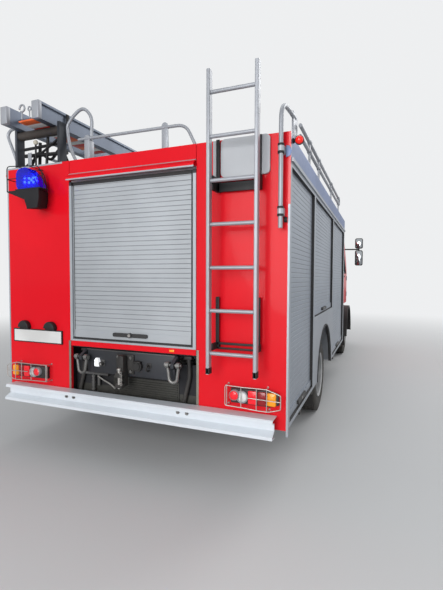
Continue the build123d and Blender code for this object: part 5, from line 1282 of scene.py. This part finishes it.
@dataclass
class RecessGear(Group):
    """The tow beam in the recess over the bumper, its shackles and hitch, and what hangs behind them."""

    face: float = REAR_Y + 0.007
    back: float = REAR_Y + 0.090
    hang: float = REAR_Y + 0.070
    ribs: int = 10

    def shackles(self) -> list[Object]:
        """Two bow shackles on lugs of the beam."""
        lugs, bows, pins = Mesh(), Mesh(), Mesh()
        y = REAR_Y - 0.042
        for x in (-0.414, 0.414):
            lug = [(self.face + 0.002, 0.760), (y + 0.004, 0.778), (y - 0.022, 0.790), (y - 0.024, 0.822),
                   (y + 0.002, 0.836), (self.face + 0.002, 0.866)]
            lugs.slab(lug, "x", x - 0.014, x + 0.014, 0.003)
            bow = [(0.043, 0.812), (0.0425, 0.780), (0.037, 0.748), (0.034, 0.720), (0.026, 0.694),
                   (0.0, 0.681)]
            half = [(x + a, y, z) for a, z in bow]
            bows.tube(flowing(half + [(2 * x - a, b, c) for a, b, c in reversed(half[:-1])], 4), 0.0128, 14,
                      up=AHEAD)
            for end in (-1, 1):
                bows.rod((x + end * 0.030, y, 0.808), (x + end * 0.057, y, 0.808), 0.0235, 24)
            pins.rod((x - 0.058, y, 0.810), (x + 0.068, y, 0.810), 0.0105, 16)
            pins.rod((x - 0.068, y, 0.810), (x - 0.056, y, 0.810), 0.018, 6)
        skin = self.skin
        return [skin(lugs, BEAM), skin(bows, STEEL), skin(pins, STEEL)]

    def hitch(self) -> list[Object]:
        """The towing jaw on the middle of the beam, with its pin and hand lever."""
        skin, y = self.skin, self.face
        body = Mesh().box((-0.110, y - 0.014, 0.700), (0.050, y + 0.002, 0.850), 0.004)
        body.box((-0.058, y - 0.075, 0.708), (-0.004, y - 0.010, 0.846), 0.010)
        body.rod((-0.031, y - 0.058, 0.640), (-0.031, y - 0.058, 0.850), 0.021, 24)
        jaw = [(y - 0.010, 0.742), (y - 0.095, 0.720), (y - 0.112, 0.690), (y - 0.086, 0.690),
               (y - 0.050, 0.700), (y - 0.050, 0.640), (y - 0.086, 0.640), (y - 0.108, 0.616),
               (y - 0.088, 0.600), (y - 0.010, 0.612)]
        body.slab(jaw, "x", -0.062, 0.000, 0.008)
        pin = Mesh().rod((-0.031, y - 0.084, 0.600), (-0.031, y - 0.084, 0.748), 0.0115, 20)
        pin.dome((-0.031, y - 0.084, 0.746), UP, 0.016, 0.012, 20)
        for n in range(6):
            centre = Vector((-0.006 + 0.004 * (n % 2), y - 0.102, 0.722 - 0.0165 * n))
            spin = 1.2 if n % 2 else 0.2
            ring = [tuple(centre + Vector((0.0065 * cos(a) * cos(spin), 0.0065 * cos(a) * sin(spin),
                                           0.0115 * sin(a)))) for a in (pi * k / 6 for k in range(12))]
            pin.tube(ring, 0.0022, 6, closed=True)
        plates = Mesh()
        for x in (-0.088, 0.028):
            for z in (0.722, 0.828):
                plates.rod((x, y - 0.012, z), (x, y - 0.024, z), 0.0125, 6)
        return [skin(body, CHASSIS), skin(pin, ZINC), skin(plates, STEEL)]

    def services(self) -> list[Object]:
        """The socket, hook and white lamp on the beam, and the couplings, bar and lever below it."""
        skin, y, low = self.skin, self.face, self.hang
        sockets = Mesh().rod((0.086, y + 0.001, 0.768), (0.086, y - 0.026, 0.768), 0.040, 32)
        sockets.rod((0.086, y - 0.024, 0.768), (0.086, y - 0.034, 0.768), 0.033, 32, 0.027)
        sockets.box((0.052, y - 0.038, 0.795), (0.120, y - 0.004, 0.806), 0.003)
        sockets.tube(flowing([(0.180, y + 0.001, 0.776), (0.182, y - 0.030, 0.778), (0.182, y - 0.042, 0.758),
                              (0.184, y - 0.026, 0.738), (0.186, y - 0.010, 0.744)]), 0.006, 10)
        sockets.box((0.162, y - 0.004, 0.758), (0.202, y + 0.001, 0.796), 0.002)
        bottle = [(-0.018, 0.0), (-0.022, 0.004), (-0.022, 0.030), (-0.012, 0.042), (-0.011, 0.058),
                  (0.011, 0.058), (0.012, 0.042), (0.022, 0.030), (0.022, 0.004), (0.018, 0.0)]
        lamp = Mesh().slab([(-0.290 + a, 0.736 + 1.15 * b) for a, b in bottle], "y", y - 0.030, y + 0.001,
                           0.008, 3)
        coupling = Mesh().rod((-0.247, y + 0.001, 0.760), (-0.247, y - 0.036, 0.760), 0.016, 20)
        coupling.box((-0.262, y - 0.006, 0.738), (-0.228, y + 0.001, 0.790), 0.003)
        for n in range(5):
            coupling.rod((-0.391, low, 0.640 - 0.026 * n), (-0.391, low, 0.622 - 0.026 * n),
                         0.0165 - 0.0014 * (n % 2), 18)
        coupling.rod((-0.391, low, 0.655), (-0.391, low, 0.510), 0.010, 16)
        coupling.rod((-0.336, low, 0.652), (-0.336, low, 0.560), 0.012, 16)
        coupling.rod((-0.500, low, 0.655), (-0.240, low, 0.655), 0.013, 16)
        coupling.rod((-0.440, low, 0.655), (-0.440, self.back, 0.655), 0.011, 16)
        dot = Mesh().dome((-0.247, y - 0.035, 0.760), BACK, 0.008, 0.005, 16)
        dot.tube(rounded_run([(-0.336, low - 0.016, 0.640), (-0.277, low - 0.020, 0.612),
                              (-0.205, low - 0.032, 0.592), (-0.150, low - 0.044, 0.566)], 0.02), 0.0062, 10)
        dot.dome((-0.150, low - 0.044, 0.570), DOWN, 0.010, 0.012, 16)
        return [skin(sockets, BLACK), skin(lamp, LIT_WHITE), skin(coupling, CASTING), skin(dot, ZINC)]

    def build(self) -> None:
        """Makes the beam with its gear in the place of the tow gear, and the struts and ribbed plate."""
        skin = self.skin
        beam = Mesh().box((-0.400, self.face, 0.679), (0.400, self.back + 0.001, 0.867), 0.006)
        lip = Mesh().box((-0.402, self.face - 0.003, 0.861), (0.402, self.face + 0.030, 0.870), 0.002)
        gear = [skin(beam, BEAM), skin(lip, CASTING)]
        gear += self.shackles() + self.hitch() + self.services()
        self.fit("tow_beam_and_gear", gear, "steel", ("tow_gear",))
        struts = Mesh()
        for run in ([(0.487, self.hang, 0.850), (0.494, self.hang, 0.705), (0.431, self.hang, 0.446)],
                    [(-0.470, self.hang, 0.850), (-0.492, self.hang, 0.640), (-0.548, self.hang, 0.446)]):
            struts.tube(rounded_run(run, 0.030), 0.0165, 12, up=AHEAD)
            struts.box((run[0][0] - 0.030, self.hang - 0.022, 0.838),
                       (run[0][0] + 0.030, self.back + 0.001, 0.862), 0.003)
        plate = Mesh().box((-0.205, self.back - 0.006, 0.452), (0.395, self.back + 0.004, 0.648), 0.002)
        plate.box((-0.584, self.back + 0.002, 0.440), (0.589, self.back + 0.008, 0.566), 0.002)
        item = Mesh().box((-0.290, -0.008, -0.0042), (0.290, 0.002, 0.0042), 0.0018)
        ribs = self.repeater.line(item, (0.095, self.back - 0.006, 0.462), (0, 0, 0.018), self.ribs, RIBBED)
        self.fit("recess_gear", [skin(struts, CHASSIS), skin(plate, RIBBED), ribs], "chassis_black")


@dataclass
class Wheels(Group):
    """Wheel nuts, hub bolts and valves on the rims."""

    nuts: int = 10
    nut_ring: float = 0.118
    hub_bolts: int = 8
    hub_ring: float = 0.074
    disc_x: dict = field(default_factory=lambda: {"front": 1.109, "rear": 0.981})
    hub_x: dict = field(default_factory=lambda: {"front": 1.113, "rear": 1.055})

    def trim(self, which: str, side: float, y: float) -> list[Object]:
        """The nuts, hub bolts and valve of one wheel."""
        disc, hub = side * self.disc_x[which], side * self.hub_x[which]
        nut = Mesh().rod((-side * 0.002, 0, 0), (side * 0.005, 0, 0), 0.021, 24)
        nut.rod((side * 0.004, 0, 0), (side * 0.024, 0, 0), 0.0165, 6)
        nut.rod((side * 0.022, 0, 0), (side * 0.034, 0, 0), 0.010, 14, 0.008)
        bolt = Mesh().rod((-side * 0.001, 0, 0), (side * 0.008, 0, 0), 0.0085, 6)
        rings = [self.repeater.ring(nut, (disc, y, HUB_Z), self.nut_ring, self.nuts, STEEL),
                 self.repeater.ring(bolt, (hub, y, HUB_Z), self.hub_ring, self.hub_bolts, STEEL, 0.3)]
        valve = Mesh().rod((disc - side * 0.012, y, HUB_Z + 0.196), (disc + side * 0.020, y, HUB_Z + 0.188),
                           0.005, 12)
        return rings + [self.skin(valve, ZINC)]

    def build(self) -> None:
        """Dresses all four wheels."""
        for name, side in SIDES.items():
            for which, wheel, y in (("front", "wheel_front", AXLE_FRONT_Y),
                                    ("rear", "wheels_rear", AXLE_REAR_Y)):
                parts = self.trim(which, side, y)
                self.fit(f"nuts_{which}_{name}", parts, "steel", body=f"{wheel}_{name}")


@dataclass
class SideTrim(Group):
    """Fittings along the body's sides: mud flaps, locks of the shutters and sill brackets."""

    def build(self) -> None:
        """Makes the fittings of both sides."""
        skin = self.skin
        flaps, brackets, locks = Mesh(), Mesh(), Mesh()
        for side in SIDES.values():
            x0, x1 = sorted((side * 0.720, side * 1.215))
            flaps.box((x0, -2.062, 0.215), (x1, -2.054, 0.600), 0.002)
            flaps.box((x0, -2.074, 0.560), (x1, -2.052, 0.600), 0.003)
            flaps.box((x0, 1.648, 0.230), (x1, 1.655, 0.560), 0.002)
            low, high = sorted((side * 1.185, side * 1.244))
            for y in (-2.860, -2.300, -0.560, 0.500):
                brackets.box((low, y, 0.392), (high, y + 0.040, 0.441), 0.003)
            for y, z in ((-2.785, 0.509), (-1.510, 1.129), (0.020, 0.509)):
                locks.rod((side * 1.2485, y, z), (side * 1.2515, y, z), 0.012, 20)
        parts = [skin(flaps, BLACK_SEAL_AND_SHADE), skin(brackets, CHASSIS), skin(locks, ZINC)]
        self.fit("side_trim", parts, "black_plastic")


@dataclass
class RoofGear(Group):
    """What lies on the roof: ladder ends, hooks, straps, a banded board and small fittings."""

    rails: tuple[float, float] = (-1.100, -0.760)
    rear: float = REAR_Y - 0.150
    low: float = 2.7035
    high: float = 2.8435

    def build(self) -> None:
        """Makes the gear at the roof ladder."""
        skin = self.skin
        ends, hooks, straps = Mesh(), Mesh(), Mesh()
        for x in self.rails:
            ends.box((x - 0.035, self.rear - 0.004, self.low), (x + 0.035, self.rear + 0.035, self.high),
                     0.004)
            ends.box((x - 0.036, 0.540, self.low), (x + 0.036, 0.578, self.high), 0.004)
        for x, z, ring, bar, first, last in ((-0.910, 2.805, 0.027, 0.0075, -120, 190),
                                             (-0.830, 2.792, 0.015, 0.006, -60, 250)):
            arc = [radians(first + (last - first) * k / 20) for k in range(21)]
            hooks.tube([(x + ring * cos(a), self.rear + 0.012, z + ring * sin(a)) for a in arc], bar, 12,
                       up=AHEAD)
            hooks.rod((x, self.rear + 0.012, z - ring), (x, self.rear + 0.012, 2.716), bar * 0.8, 10)
        hooks.box((-1.030, REAR_Y + 0.022, ROOF_Z), (-0.990, REAR_Y + 0.028, 2.510), 0.002)
        hooks.box((-1.040, REAR_Y + 0.018, 2.389), (-0.980, REAR_Y + 0.060, 2.396), 0.002)
        for x in (-1.043, -0.777):
            hooks.rod((x, REAR_Y + 0.050, 2.668), (x + 0.006, REAR_Y + 0.050, 2.668), 0.0352, 32)
        ball = Mesh().dome((-0.9415, REAR_Y + 0.025, 2.589), UP, 0.020, 0.020, 24)
        ball.dome((-0.9415, REAR_Y + 0.025, 2.589), DOWN, 0.020, 0.020, 24)
        dark = Mesh().rod((-0.9415, REAR_Y + 0.025, ROOF_Z), (-0.9415, REAR_Y + 0.025, 2.572), 0.008, 12)
        for x0, y0, z0, x1, y1, z1, bar in (
                (-1.120, 0.070, 2.560, -0.690, 0.090, 2.580, 0.013),
                (-1.130, 0.090, 2.420, -0.720, 0.060, 2.610, 0.010),
                (-1.100, 0.060, 2.500, -0.680, 0.110, 2.500, 0.016),
                (-0.880, 0.080, ROOF_Z, -0.860, 0.080, 2.640, 0.012),
                (-1.020, 0.140, 2.400, -1.010, 0.140, 2.630, 0.014)):
            dark.rod((x0, REAR_Y + y0, z0), (x1, REAR_Y + y1, z1), bar, 14)
        hose = [(-1.110, 0.120, 2.400), (-1.000, 0.110, 2.530), (-0.880, 0.130, 2.470),
                (-0.760, 0.120, 2.540), (-0.700, 0.160, 2.400)]
        dark.tube(flowing([(x, REAR_Y + along, z) for x, along, z in hose]), 0.012, 12)
        for y in (REAR_Y + 0.150, REAR_Y + 1.980, REAR_Y + 3.500):
            straps.box((-1.1355, y, 2.7010), (-0.7245, y + 0.035, 2.7040), 0.001)
            straps.box((-1.1375, y, 2.7010), (-1.1345, y + 0.035, 2.8430), 0.001)
            straps.box((-0.7255, y, 2.7010), (-0.7225, y + 0.035, 2.8430), 0.001)
        bands = []
        for n, finish in enumerate((BAND_ORANGE, BAND_WHITE, BAND_RED)):
            item = Mesh().box((-0.085, 0.0, 0.0), (0.085, 0.074, 0.012), 0.001)
            bands.append(self.repeater.line(item, (-0.880, REAR_Y - 0.125 + 0.075 * n, 2.7055),
                                            (0.0, 0.225, 0.0), 4, finish))
        self.fit("roof_gear", [skin(ends, LADDER_METAL), skin(hooks, LADDER_METAL), skin(ball, CREAM),
                               skin(dark, CHASSIS), skin(straps, BLACK_SEAL_AND_SHADE)] + bands, "aluminium")


@dataclass
class MastLamps(Group):
    """Lenses, bezels and cooling fins of the four flood lamps on the mast."""

    places: tuple[float, ...] = (-0.330, -0.1485, 0.1485, 0.330)
    fins: int = 11
    low: float = 2.595
    high: float = 2.745

    def build(self) -> None:
        """Makes the front of every flood lamp and the fins behind it."""
        skin, y = self.skin, MAST_Y + 0.055
        bezels, bowls, lenses = Mesh(), Mesh(), Mesh()
        fins = []
        for x in self.places:
            outline = [(x - 0.076, self.low + 0.014), (x + 0.076, self.low + 0.014),
                       (x + 0.076, self.high - 0.014), (x - 0.076, self.high - 0.014)]
            lenses.slab(outline, "y", y - 0.001, y + 0.004, 0.0015)
            for x0, x1, z0, z1 in ((-0.086, -0.074, 0.006, 0.144), (0.074, 0.086, 0.006, 0.144),
                                   (-0.086, 0.086, 0.006, 0.018), (-0.086, 0.086, 0.132, 0.144)):
                bezels.box((x + x0, y - 0.002, self.low + z0), (x + x1, y + 0.008, self.low + z1), 0.0015)
            bowls.rod((x - 0.050, y + 0.0045, self.low + 0.075), (x + 0.050, y + 0.0045, self.low + 0.075),
                      0.0035, 12)
            item = Mesh().box((-0.0015, -0.008, -0.055), (0.0015, 0.002, 0.055), 0.0005)
            fins.append(self.repeater.line(item, (x - 0.070, MAST_Y - 0.055, 2.670), (0.014, 0.0, 0.0),
                                           self.fins, BLACK))
        parts = [skin(bezels, BLACK), skin(bowls, BAND_WHITE), skin(lenses, REFLECTOR)] + fins
        self.fit("flood_fronts", parts, "black_plastic", body="mast_lamps")


@dataclass
class Headlamps(Group):
    """The front lamps in the bumper, each with two round lenses over reflectors, and the turn lamps."""

    face: float = BUMPER_FRONT_Y - 0.024

    def plate(self) -> None:
        """The blank plate in the bumper's recess."""
        mesh = Mesh().box((-0.265, BUMPER_FRONT_Y - 0.0245, 0.573), (0.265, BUMPER_FRONT_Y - 0.0205, 0.687),
                          0.0015)
        for x in (-0.200, 0.200):
            mesh.rod((x, BUMPER_FRONT_Y - 0.021, 0.630), (x, BUMPER_FRONT_Y - 0.0175, 0.630), 0.008, 16)
        self.fit("front_blank_plate", [self.skin(mesh, BOARD)], "board_white")

    def build(self) -> None:
        """Makes both head lamps, the turn lamps and the blank plate."""
        self.plate()
        skin = self.skin
        boxes, rims, bowls, lenses, turns = Mesh(), Mesh(), Mesh(), Mesh(), Mesh()
        for side in SIDES.values():
            low, high = sorted((side * 0.7005, side * 0.9795))
            boxes.box((low, BUMPER_FRONT_Y - 0.0595, 0.6005), (high, self.face - 0.006, 0.7595), 0.004)
            for x in (0.763, 0.881):
                at = (side * x, self.face, 0.680)
                rims.turned(at, [(-0.010, 0.0575), (0.014, 0.0575), (0.018, 0.055), (0.014, 0.051),
                                 (-0.010, 0.051)], 40, axis=AHEAD)
                bowls.turned(at, [(-0.006, 0.052), (0.008, 0.052), (-0.002, 0.020), (-0.004, 0.004),
                                  (-0.006, 0.004)], 40, axis=AHEAD)
                bowls.dome((at[0], self.face - 0.003, 0.680), AHEAD, 0.010, 0.010, 20, 4)
                lenses.dome((at[0], self.face + 0.008, 0.680), AHEAD, 0.052, 0.009, 40, 4)
            low, high = sorted((side * 0.944, side * 0.9780))
            turns.box((low, self.face - 0.008, 0.612), (high, self.face + 0.014, 0.748), 0.004)
        parts = [skin(boxes, BLACK), skin(rims, PALE_METAL), skin(bowls, REFLECTOR), skin(lenses, CLEAR_LENS),
                 skin(turns, AMBER_LENS)]
        self.fit("head_lamps", parts, "clear_lens", ("headlamps",))


@dataclass
class CabTrim(Group):
    """Small fittings of the cab: mirror glasses, wipers and door hinges."""

    def screen_y(self, z: float) -> float:
        """How far forward the windscreen's slope is at a height."""
        return CAB_FRONT_Y - (z - WAIST_Z) * SCREEN_RAKE

    def build(self) -> None:
        """Makes the fittings that ride on the cab."""
        skin = self.skin
        glasses, wipers, blades = Mesh(), Mesh(), Mesh()
        for side in SIDES.values():
            low, high = sorted((side * 1.289, side * 1.421))
            for z0, z1 in ((1.756, 2.054), (2.124, 2.316)):
                outline = [(low + 0.02, z0), (high - 0.02, z0), (high, z0 + 0.02), (high, z1 - 0.02),
                           (high - 0.02, z1), (low + 0.02, z1), (low, z1 - 0.02), (low, z0 + 0.02)]
                glasses.slab(outline, "y", 3.2965, 3.3015, 0.001)
        for x0, x1 in ((-0.580, -0.180), (0.100, 0.500)):
            foot, tip = 1.592, 2.080
            wipers.rod((x0, self.screen_y(foot) + 0.004, foot),
                       (x0, self.screen_y(foot) + 0.024, foot - 0.003), 0.016, 20)
            wipers.rod((x0, self.screen_y(foot) + 0.020, foot),
                       ((x0 + x1) / 2, self.screen_y(1.860) + 0.022, 1.860), 0.007, 10, 0.005)
            blades.rod((x0 + 0.10, self.screen_y(1.660) + 0.006, 1.660),
                       (x1, self.screen_y(tip) + 0.006, tip), 0.006, 8)
            blades.rod((x0 + 0.16, self.screen_y(1.740) + 0.014, 1.740),
                       (x1 - 0.06, self.screen_y(2.000) + 0.014, 2.000), 0.005, 8)
        hinge = Mesh()
        for side in SIDES.values():
            for y in (3.196, 2.236):
                for z in (1.120, 1.460):
                    hinge.rod((side * 1.1115, y, z - 0.045), (side * 1.1115, y, z + 0.045), 0.009, 14)
        parts = [skin(glasses, MIRROR), skin(wipers, BLACK), skin(blades, BLACK_SEAL_AND_SHADE), skin(hinge, BLACK)]
        self.fit("cab_trim", parts, "black_plastic", body="cab")


@dataclass
class Seats(Group):
    """The cab's seats: padded cushions and backs with sewn channels on hard frames."""

    steps: int = 22
    front: tuple = (-0.680, 0.680)
    bench: tuple = (-0.735, -0.245, 0.245, 0.735)

    def pad(self, name: str, low: Point, high: Point, thin: int, channels: tuple[float, ...] = ()) -> None:
        """Adds one crowned pad whose sides pull in between its corners.

        Args:
            name: The piece's name.
            low: The lower corner of the space it fills.
            high: The upper corner.
            thin: The axis across its thickness.
            channels: Where its sewn channels run, as shares of its half width from the middle.
        """
        mesh = Mesh()
        form = mesh.form
        bmesh.ops.create_cube(form, size=2.0)
        bmesh.ops.subdivide_edges(form, edges=form.edges[:], cuts=self.steps, use_grid_fill=True)
        centre, half = (Vector(low) + Vector(high)) / 2, (Vector(high) - Vector(low)) / 2
        flat = [axis for axis in range(3) if axis != thin]
        for vertex in form.verts:
            p = vertex.co.copy()
            swell = sum(abs(c) ** 7 for c in p) ** (-1.0 / 7.0)
            p = p * swell
            a, b = p[flat[0]], p[flat[1]]
            p[flat[0]] = a * (1.0 - 0.030 * (1.0 - b * b))
            p[flat[1]] = b * (1.0 - 0.030 * (1.0 - a * a))
            crown = 0.80 + 0.20 * (1.0 - a ** 4) * (1.0 - b ** 4)
            for line in channels:
                crown -= 0.075 * exp(-((a - line) / 0.035) ** 2)
            crown -= 0.050 * exp(-((abs(b) - 0.80) / 0.030) ** 2)
            p[thin] *= crown
            vertex.co = centre + Vector([p[k] * half[k] for k in range(3)])
        piece = self.skin(mesh, FABRIC, name, 1.2)
        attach(piece, "cab")
        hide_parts("cab_seats")

    def build(self) -> None:
        """Makes the pads of two front seats and of the crew's four, and their frames."""
        sewn = (-0.52, 0.0, 0.52)
        for n, x in enumerate(self.front):
            self.pad(f"front_cushion_{n}", (x - 0.238, 2.445, 1.268), (x + 0.238, 2.935, 1.398), 2, sewn)
            self.pad(f"front_back_{n}", (x - 0.236, 2.384, 1.402), (x + 0.236, 2.486, 1.862), 1, sewn)
            self.pad(f"front_headrest_{n}", (x - 0.130, 2.392, 1.886), (x + 0.130, 2.482, 2.056), 1)
        for n, x in enumerate(self.bench):
            self.pad(f"crew_cushion_{n}", (x - 0.238, 0.972, 1.292), (x + 0.238, 1.432, 1.418), 2, sewn)
            self.pad(f"crew_back_{n}", (x - 0.236, 0.970, 1.424), (x + 0.236, 1.072, 2.074), 1, sewn)
        frames = Mesh()
        for x in self.front:
            frames.box((x - 0.178, 2.502, 0.986), (x + 0.178, 2.898, 1.235), 0.012)
            frames.box((x - 0.210, 2.470, 1.230), (x + 0.210, 2.900, 1.272), 0.008)
            for shift in (-0.120, 0.120):
                frames.box((x + shift - 0.018, 2.460, 1.255), (x + shift + 0.018, 2.920, 1.275), 0.004)
            for shift in (-0.060, 0.060):
                frames.rod((x + shift, 2.437, 1.850), (x + shift, 2.437, 1.900), 0.007, 12)
        frames.box((-0.958, 0.968, 0.986), (0.958, 1.348, 1.284), 0.010)
        frames.box((-0.975, 0.970, 1.276), (0.975, 1.400, 1.298), 0.006)
        self.fit("seat_frames", [self.skin(frames, GREY)], "black_plastic", ("cab_seats",), "cab")


@dataclass
class RoofLamps(Group):
    """The light bar on the cab: a black base, two blue domes and the turning mirrors in them."""

    low: float = 2.450

    def build(self) -> None:
        """Makes the bar in the place of its solid."""
        skin, low = self.skin, self.low
        base = Mesh().slab(rounded([(-0.699, 2.702), (0.699, 2.702), (0.699, 2.978), (-0.699, 2.978)], 0.06),
                           "z", low, low + 0.050, 0.006)
        base.box((-0.226, 2.730, low + 0.046), (0.226, 2.950, low + 0.078), 0.012)
        domes, cores, lamps = Mesh(), Mesh(), Mesh()
        for x0, x1 in ((-0.689, -0.231), (0.231, 0.689)):
            outline = rounded([(x0, 2.716), (x1, 2.716), (x1, 2.964), (x0, 2.964)], 0.07)
            domes.slab(outline, "z", low + 0.050, low + 0.164, 0.024, 4)
            for x in ((x0 * 3 + x1) / 4, (x0 + x1 * 3) / 4):
                cores.turned((x, 2.840, low + 0.055), [(0.0, 0.060), (0.006, 0.062), (0.055, 0.030),
                                                       (0.055, 0.002), (0.0, 0.002)], 24, axis=UP)
                lamps.dome((x, 2.840, low + 0.108), UP, 0.022, 0.034, 20, 4)
        self.fit("roof_lamps", [skin(base, BLACK), skin(domes, BLUE_LENS), skin(cores, REFLECTOR),
                                skin(lamps, CLEAR_LENS)], "blue_lens", ("light_bar",), "cab")


@dataclass
class Studio:
    """The floor, the light and the camera."""

    lens: float = 24.27
    eye: Point = (1.7992, -5.9003, 1.440)
    yaw: float = 0.3791
    pitch: float = 0.0411
    roll: float = 0.0040
    film: float = 36.0
    reach: float = 200.0
    floor_half: float = 60.0
    floor_colour: Colour = (0.62, 0.62, 0.62)
    floor_shade: float = 0.96
    floor_roughness: float = 0.85
    fade: tuple[float, float] = (3.5, 13.0)
    backdrop: Colour = (0.90, 0.91, 0.92)
    backdrop_strength: float = 0.95
    sky: Colour = (0.92, 0.96, 1.0)
    sky_strength: float = 0.42
    aim: Point = (0.0, -0.5, 1.2)
    lamps: tuple = field(default=(
        ("key", (0.5, -12.0, 3.0), 6.0, 620.0),
        ("fill", (11.0, -3.0, 5.0), 7.0, 165.0),
        ("front", (6.0, 9.5, 10.0), 7.0, 520.0),
        ("top", (0.0, 1.5, 11.0), 9.0, 215.0),
    ))

    def camera(self) -> None:
        """The camera at the photograph's viewing angle."""
        ahead = Vector((-sin(self.yaw) * cos(self.pitch),
                        cos(self.yaw) * cos(self.pitch), -sin(self.pitch)))
        right = ahead.cross(Vector(UP)).normalized()
        up = right.cross(ahead)
        level, tilt = cos(self.roll), sin(self.roll)
        axes = (level * right + tilt * up, -tilt * right + level * up, -ahead)
        data = bpy.data.cameras.new("camera")
        data.lens = self.lens
        data.sensor_width = self.film
        data.clip_end = self.reach
        camera = placed("camera", data)
        camera.matrix_world = Matrix.Translation(self.eye) @ Matrix(axes).transposed().to_4x4()
        bpy.context.scene.camera = camera

    def floor(self) -> None:
        """A wide pale floor that keeps the shadow."""
        form = bmesh.new()
        bmesh.ops.create_grid(form, x_segments=2, y_segments=2, size=self.floor_half)
        data = bpy.data.meshes.new("floor")
        form.to_mesh(data)
        form.free()
        floor = placed("floor", data)
        shader = Shader("pale_floor")
        cloud = shader.noise(0.6, 3.0)
        shade = tuple(c * self.floor_shade for c in self.floor_colour)
        shader.feed(shader.skin.inputs["Base Color"], shader.mix(cloud, shade, self.floor_colour))
        shader.skin.inputs["Roughness"].default_value = self.floor_roughness
        far = shader.node("ShaderNodeVectorMath", {"operation": "LENGTH"}, {0: shader.place()}, "Value")
        seen = shader.node("ShaderNodeLightPath", {}, {}, "Is Camera Ray")
        glow = {"Color": self.backdrop, "Strength": self.backdrop_strength}
        pale = shader.node("ShaderNodeEmission", {}, glow)
        both = shader.node("ShaderNodeMixShader", {}, {0: far.between(*self.fade) * seen})
        mixer = both.socket.node
        shader.tree.links.new(shader.skin.outputs["BSDF"], mixer.inputs[1])
        shader.tree.links.new(pale.socket, mixer.inputs[2])
        shader.tree.links.new(both.socket, shader.output.inputs["Surface"])
        floor.data.materials.append(shader.material)

    def light(self) -> None:
        """Large soft lamps round the vehicle and an even sky that shows pale."""
        for name, place, size, power in self.lamps:
            data = bpy.data.lights.new(name, "AREA")
            data.shape = "DISK"
            data.size = size
            data.energy = power
            lamp = placed(name, data)
            lamp.location = place
            ray = Vector(self.aim) - Vector(place)
            lamp.rotation_euler = ray.to_track_quat("-Z", "Y").to_euler()
        world = bpy.data.worlds.new("studio")
        bpy.context.scene.world = world
        world.use_nodes = True
        tree = world.node_tree
        tree.nodes.clear()
        make = tree.nodes.new
        output, path = make("ShaderNodeOutputWorld"), make("ShaderNodeLightPath")
        seen, through = make("ShaderNodeMath"), make("ShaderNodeMath")
        seen.operation = through.operation = "MAXIMUM"
        both = make("ShaderNodeMixShader")
        sky, backdrop = make("ShaderNodeBackground"), make("ShaderNodeBackground")
        for node, colour, strength in ((sky, self.sky, self.sky_strength),
                                       (backdrop, self.backdrop, self.backdrop_strength)):
            node.inputs["Color"].default_value = (*colour, 1.0)
            node.inputs["Strength"].default_value = strength
        for source, target in (
                (path.outputs["Is Camera Ray"], seen.inputs[0]),
                (path.outputs["Is Transmission Ray"], seen.inputs[1]),
                (seen.outputs[0], through.inputs[0]), (path.outputs["Is Glossy Ray"], through.inputs[1]),
                (through.outputs[0], both.inputs[0]), (sky.outputs[0], both.inputs[1]),
                (backdrop.outputs[0], both.inputs[2]), (both.outputs[0], output.inputs["Surface"])):
            tree.links.new(source, target)

    def build(self) -> None:
        """Sets up the whole studio."""
        self.camera()
        self.floor()
        self.light()
        bpy.context.scene.view_settings.view_transform = "Standard"


GROUPS = (Tyres, TailLamps, Beacon, Brackets, HandRails, RearTrim, RecessGear, Wheels, SideTrim, RoofGear,
          MastLamps, Headlamps, CabTrim, RoofLamps, Seats)


def main() -> None:
    """Builds the studio and every dressed piece."""
    logging.basicConfig(level=logging.INFO, format="%(name)s: %(message)s")
    dresser = Dresser()
    repeater = Repeater(dresser)
    Studio().build()
    dresser.dress_nodes()
    for group in GROUPS:
        group(dresser, repeater).build()


if __name__ == "__main__":
    main()
